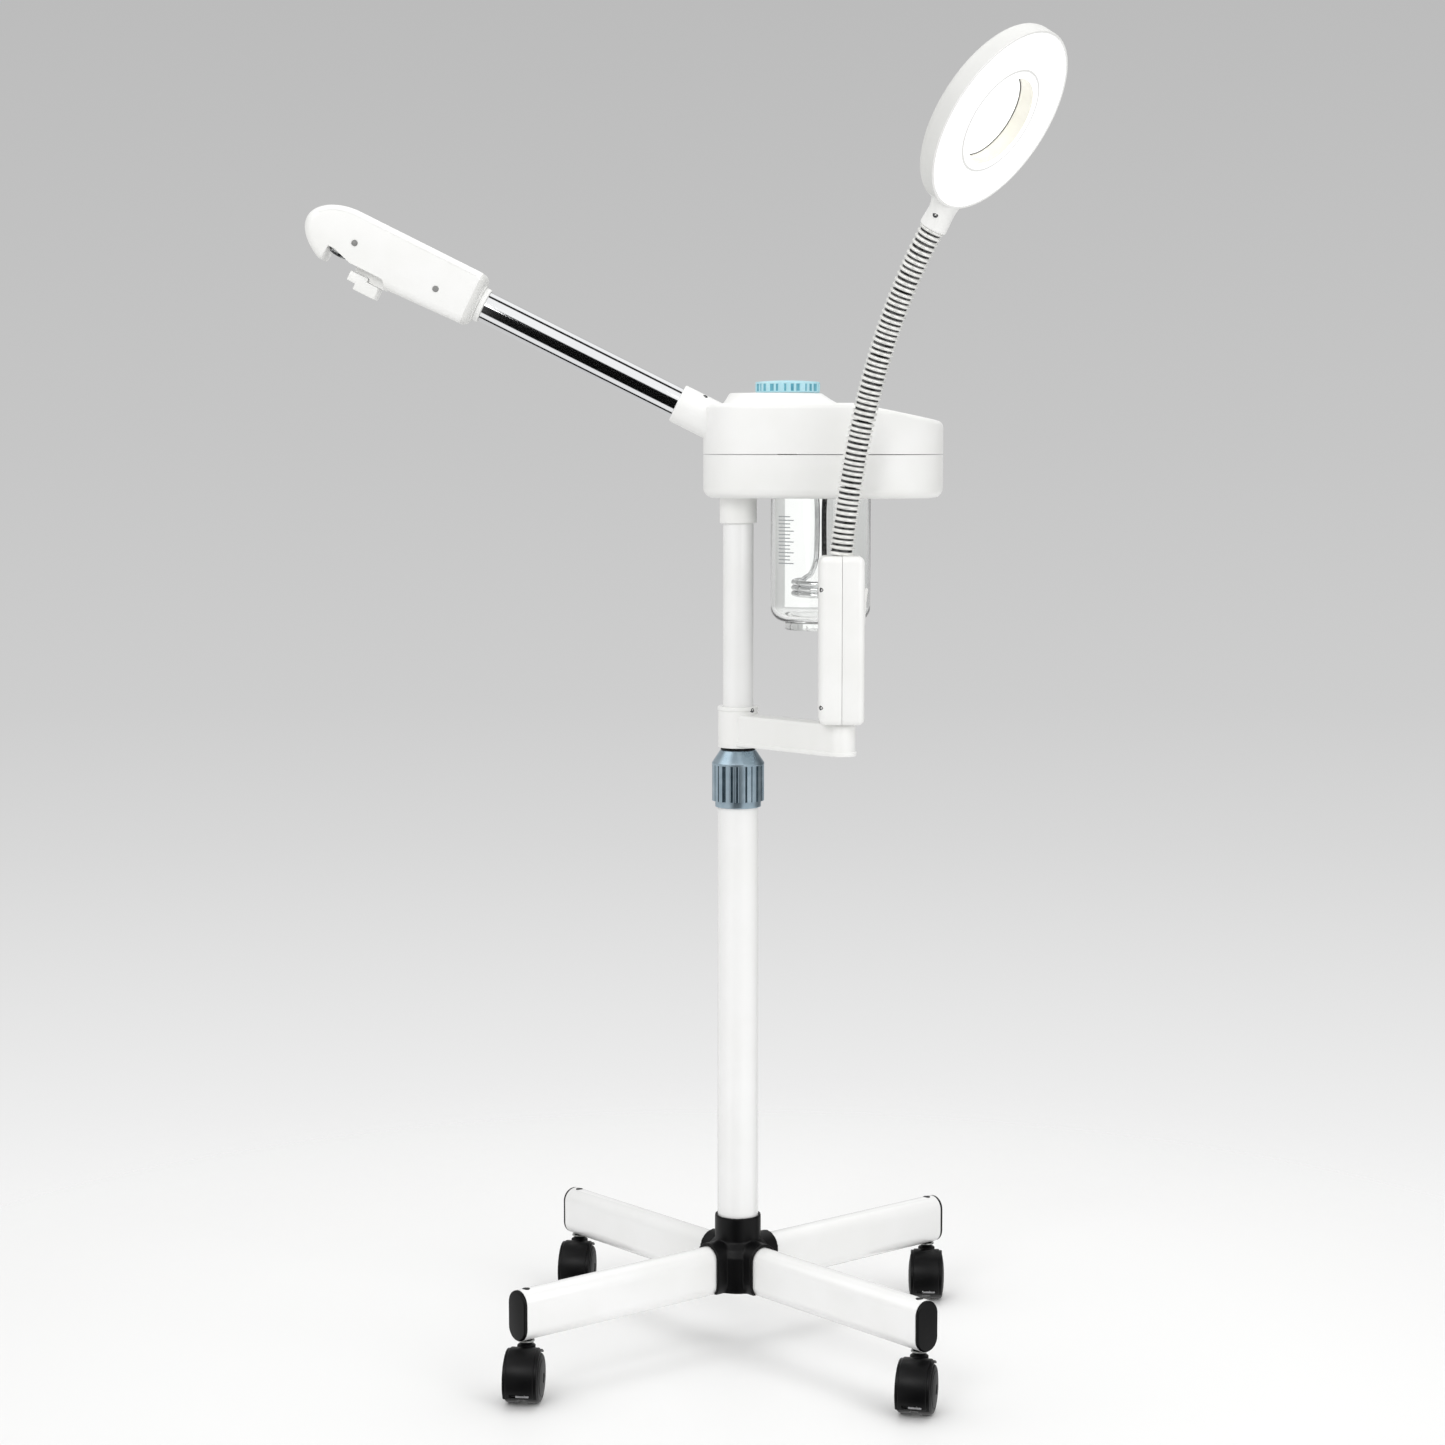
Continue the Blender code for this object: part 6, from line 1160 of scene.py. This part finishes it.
def stagePiece(name, bm, material):
    piece = bpy.data.objects.new(name, meshOf(bm, name))
    piece.data.materials.append(material)
    piece.visible_glossy = False
    scene.collection.objects.link(piece)
    piece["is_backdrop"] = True
    return piece


def sheetMaterial(name, sockets):
    material = bpy.data.materials.new(name)
    material.use_nodes = True
    for socket, value in sockets.items():
        material.node_tree.nodes["Principled BSDF"].inputs[socket].default_value = value
    return material


# a floor that fades out where the studio sweep takes over
floor = {"radius": 1.3, "fade": (0.45, 1.2)}
floorPaper = sheetMaterial("paper sweep, matt white", {"Base Color": linear("#FAFAFA"), "Roughness": 0.55})
tree = floorPaper.node_tree
spot = addNode(tree, "ShaderNodeTexCoord").outputs["Object"]
away = addNode(tree, "ShaderNodeVectorMath", {"operation": "LENGTH"}, {0: spot})
easing = {"interpolation_type": "SMOOTHSTEP"}
fade = addNode(
    tree, "ShaderNodeMapRange",
    {**easing, "From Min": floor["fade"][0], "From Max": floor["fade"][1], "To Min": 1.0, "To Max": 0.0},
    {"Value": away.outputs["Value"]},
)
tree.links.new(fade.outputs["Result"], tree.nodes["Principled BSDF"].inputs["Alpha"])
disc = bmesh.new()
bmesh.ops.create_circle(disc, cap_ends=True, segments=96, radius=floor["radius"])
stagePiece("floor", disc, floorPaper)

# a white board far behind, which shows only through the left half of the jar
board = {"at": (0.0596, 0.62, 0.7104), "height": 0.181, "width": 0.095, "strength": 1.1}
boardPaper = sheetMaterial("paper board, white, lit", {
    "Base Color": (0, 0, 0, 1), "Specular IOR Level": 0, "Emission Color": (1, 1, 1, 1),
    "Emission Strength": board["strength"],
})
sheet = bmesh.new()
bmesh.ops.create_grid(sheet, x_segments=1, y_segments=1, size=0.5)
bmesh.ops.scale(sheet, vec=(board["width"], board["height"], 1), verts=sheet.verts)
placed(sheet, frameOf(across, upward, -inward, board["at"]))
backdrop = stagePiece("jarBoard", sheet, boardPaper)
backdrop.visible_camera = backdrop.visible_diffuse = backdrop.visible_shadow = False

# the eye sees a grey sweep; polished metal sees a dark camera side between white strips along the arm
studio = {
    "ambient": ("#FBFBFA", 0.74),
    "levels": (-0.4, 0.4),
    "sweep": (
        (0.0, "#FAFAFA"), (0.19, "#F4F4F4"), (0.25, "#E8E8E8"), (0.33, "#D8D8D8"), (0.39, "#CECECE"),
        (0.5, "#C6C6C6"), (0.7, "#BBBBBB"), (1.0, "#B4B4B4"),
    ),
    "strips": (
        (-107, "#D0D0D0"), (-105, "#050505"), (-90, "#050505"), (-87, "#F3F3F3"), (-56, "#F3F3F3"),
        (-52, "#050505"), (16, "#050505"), (20, "#FFFFFF"), (77, "#FFFFFF"), (80, "#050505"),
        (96, "#050505"), (100, "#FFFFFF"), (140, "#FFFFFF"), (144, "#C0C0C0"),
    ),
    "stripEnds": {"From Min": 0.25, "From Max": 0.5, "To Min": 1.0, "To Max": 0.0},
    "bright": {"From Min": 0.9, "From Max": 0.98, "To Min": 1.0, "To Max": 4.0},
    "brightWay": Vector((-0.67, -0.08, 0.74)),
    "dark": {"From Min": 0.75, "From Max": 0.95, "To Min": 1.0, "To Max": 0.15},
    "darkWay": Vector((0.85, 0.52, 0.1)),
}
world = bpy.data.worlds.new("studio")
scene.world = world
world.use_nodes = True
tree = world.node_tree
tree.nodes.clear()
gaze = addNode(tree, "ShaderNodeTexCoord").outputs["Generated"]
front, rise, level, along, bright, dark = [
    addNode(tree, "ShaderNodeVectorMath", {"operation": "DOT_PRODUCT", 1: way}, {0: gaze}).outputs["Value"]
    for way in (-inward, armUp, upward, armOut, studio["brightWay"], studio["darkWay"])
]
levels = {"From Min": studio["levels"][0], "From Max": studio["levels"][1]}
height = addNode(tree, "ShaderNodeMapRange", levels, {"Value": level}).outputs["Result"]
sweep = addNode(tree, "ShaderNodeValToRGB", None, {"Fac": height})
setStops(sweep.color_ramp, studio["sweep"])
around = addNode(tree, "ShaderNodeMath", {"operation": "ARCTAN2"}, {0: rise, 1: front}).outputs["Value"]
turns = {"From Min": -math.pi, "From Max": math.pi}
stripPlace = addNode(tree, "ShaderNodeMapRange", turns, {"Value": around}).outputs["Result"]
strips = addNode(tree, "ShaderNodeValToRGB", None, {"Fac": stripPlace})
setStops(strips.color_ramp, [((angle + 180) / 360, tone) for angle, tone in studio["strips"]])
aside = addNode(tree, "ShaderNodeMath", {"operation": "ABSOLUTE"}, {0: along}).outputs["Value"]
stripShare, boost, dim = [
    addNode(tree, "ShaderNodeMapRange", {**easing, **studio[name]}, {"Value": source}).outputs["Result"]
    for name, source in (("stripEnds", aside), ("bright", bright), ("dark", dark))
]
walls = addNode(
    tree, "ShaderNodeMixRGB", None,
    {"Fac": stripShare, "Color1": sweep.outputs["Color"], "Color2": strips.outputs["Color"]},
)
power = addNode(tree, "ShaderNodeMath", {"operation": "MULTIPLY"}, {0: boost, 1: dim})
seen = addNode(tree, "ShaderNodeBackground", None, {"Color": sweep.outputs["Color"]})
ambientTone, ambientStrength = studio["ambient"]
lit = addNode(tree, "ShaderNodeBackground", {"Color": linear(ambientTone), "Strength": ambientStrength})
mirrored = addNode(
    tree, "ShaderNodeBackground", None, {"Color": walls.outputs["Color"], "Strength": power.outputs["Value"]},
)
rays = addNode(tree, "ShaderNodeLightPath").outputs
eyeRay = addNode(
    tree, "ShaderNodeMath", {"operation": "MAXIMUM"},
    {0: rays["Is Camera Ray"], 1: rays["Is Transmission Ray"]},
)
unseen = addNode(
    tree, "ShaderNodeMixShader", None,
    {0: rays["Is Glossy Ray"], 1: lit.outputs["Background"], 2: mirrored.outputs["Background"]},
)
room = addNode(
    tree, "ShaderNodeMixShader", None,
    {0: eyeRay.outputs["Value"], 1: unseen.outputs["Shader"], 2: seen.outputs["Background"]},
)
addNode(tree, "ShaderNodeOutputWorld", None, {"Surface": room.outputs["Shader"]})

lamps = {
    "key": {"at": (-1.1, -2.2, 2.1), "to": (0, 0, 0.7), "size": (1.2, 1.2), "watts": 18.5, "mirrored": True},
    "fill": {"at": (1.7, -1.9, 1.5), "to": (0, 0, 0.6), "size": (1.4, 1.6), "watts": 15, "mirrored": True},
    "top": {"at": (0.2, 0.5, 2.9), "to": (0, 0, 0.5), "size": (1.6, 1.6), "watts": 18, "mirrored": False},
}
for name, softbox in lamps.items():
    light = bpy.data.lights.new(name, "AREA")
    light.shape, light.size, light.size_y, light.energy = "RECTANGLE", *softbox["size"], softbox["watts"]
    fixture = bpy.data.objects.new(name, light)
    aim = Vector(softbox["to"]) - Vector(softbox["at"])
    fixture.location, fixture.rotation_euler = softbox["at"], aim.to_track_quat("-Z", "Y").to_euler()
    fixture.visible_glossy = softbox["mirrored"]
    scene.collection.objects.link(fixture)

view = {"at": (-0.0144, -2.6775, 0.8437), "down": 0.096, "sensor": 36, "lens": 72.70}
camera = bpy.data.cameras.new("camera")
camera.sensor_width, camera.lens = view["sensor"], view["lens"]
eye = bpy.data.objects.new("camera", camera)
eye.location, eye.rotation_euler = view["at"], (math.pi / 2 - view["down"], 0, 0)
scene.collection.objects.link(eye)
scene.camera = eye
scene.view_settings.view_transform = "Standard"
print("stage made")

corners = {"cad": cadBox, "visual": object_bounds()}
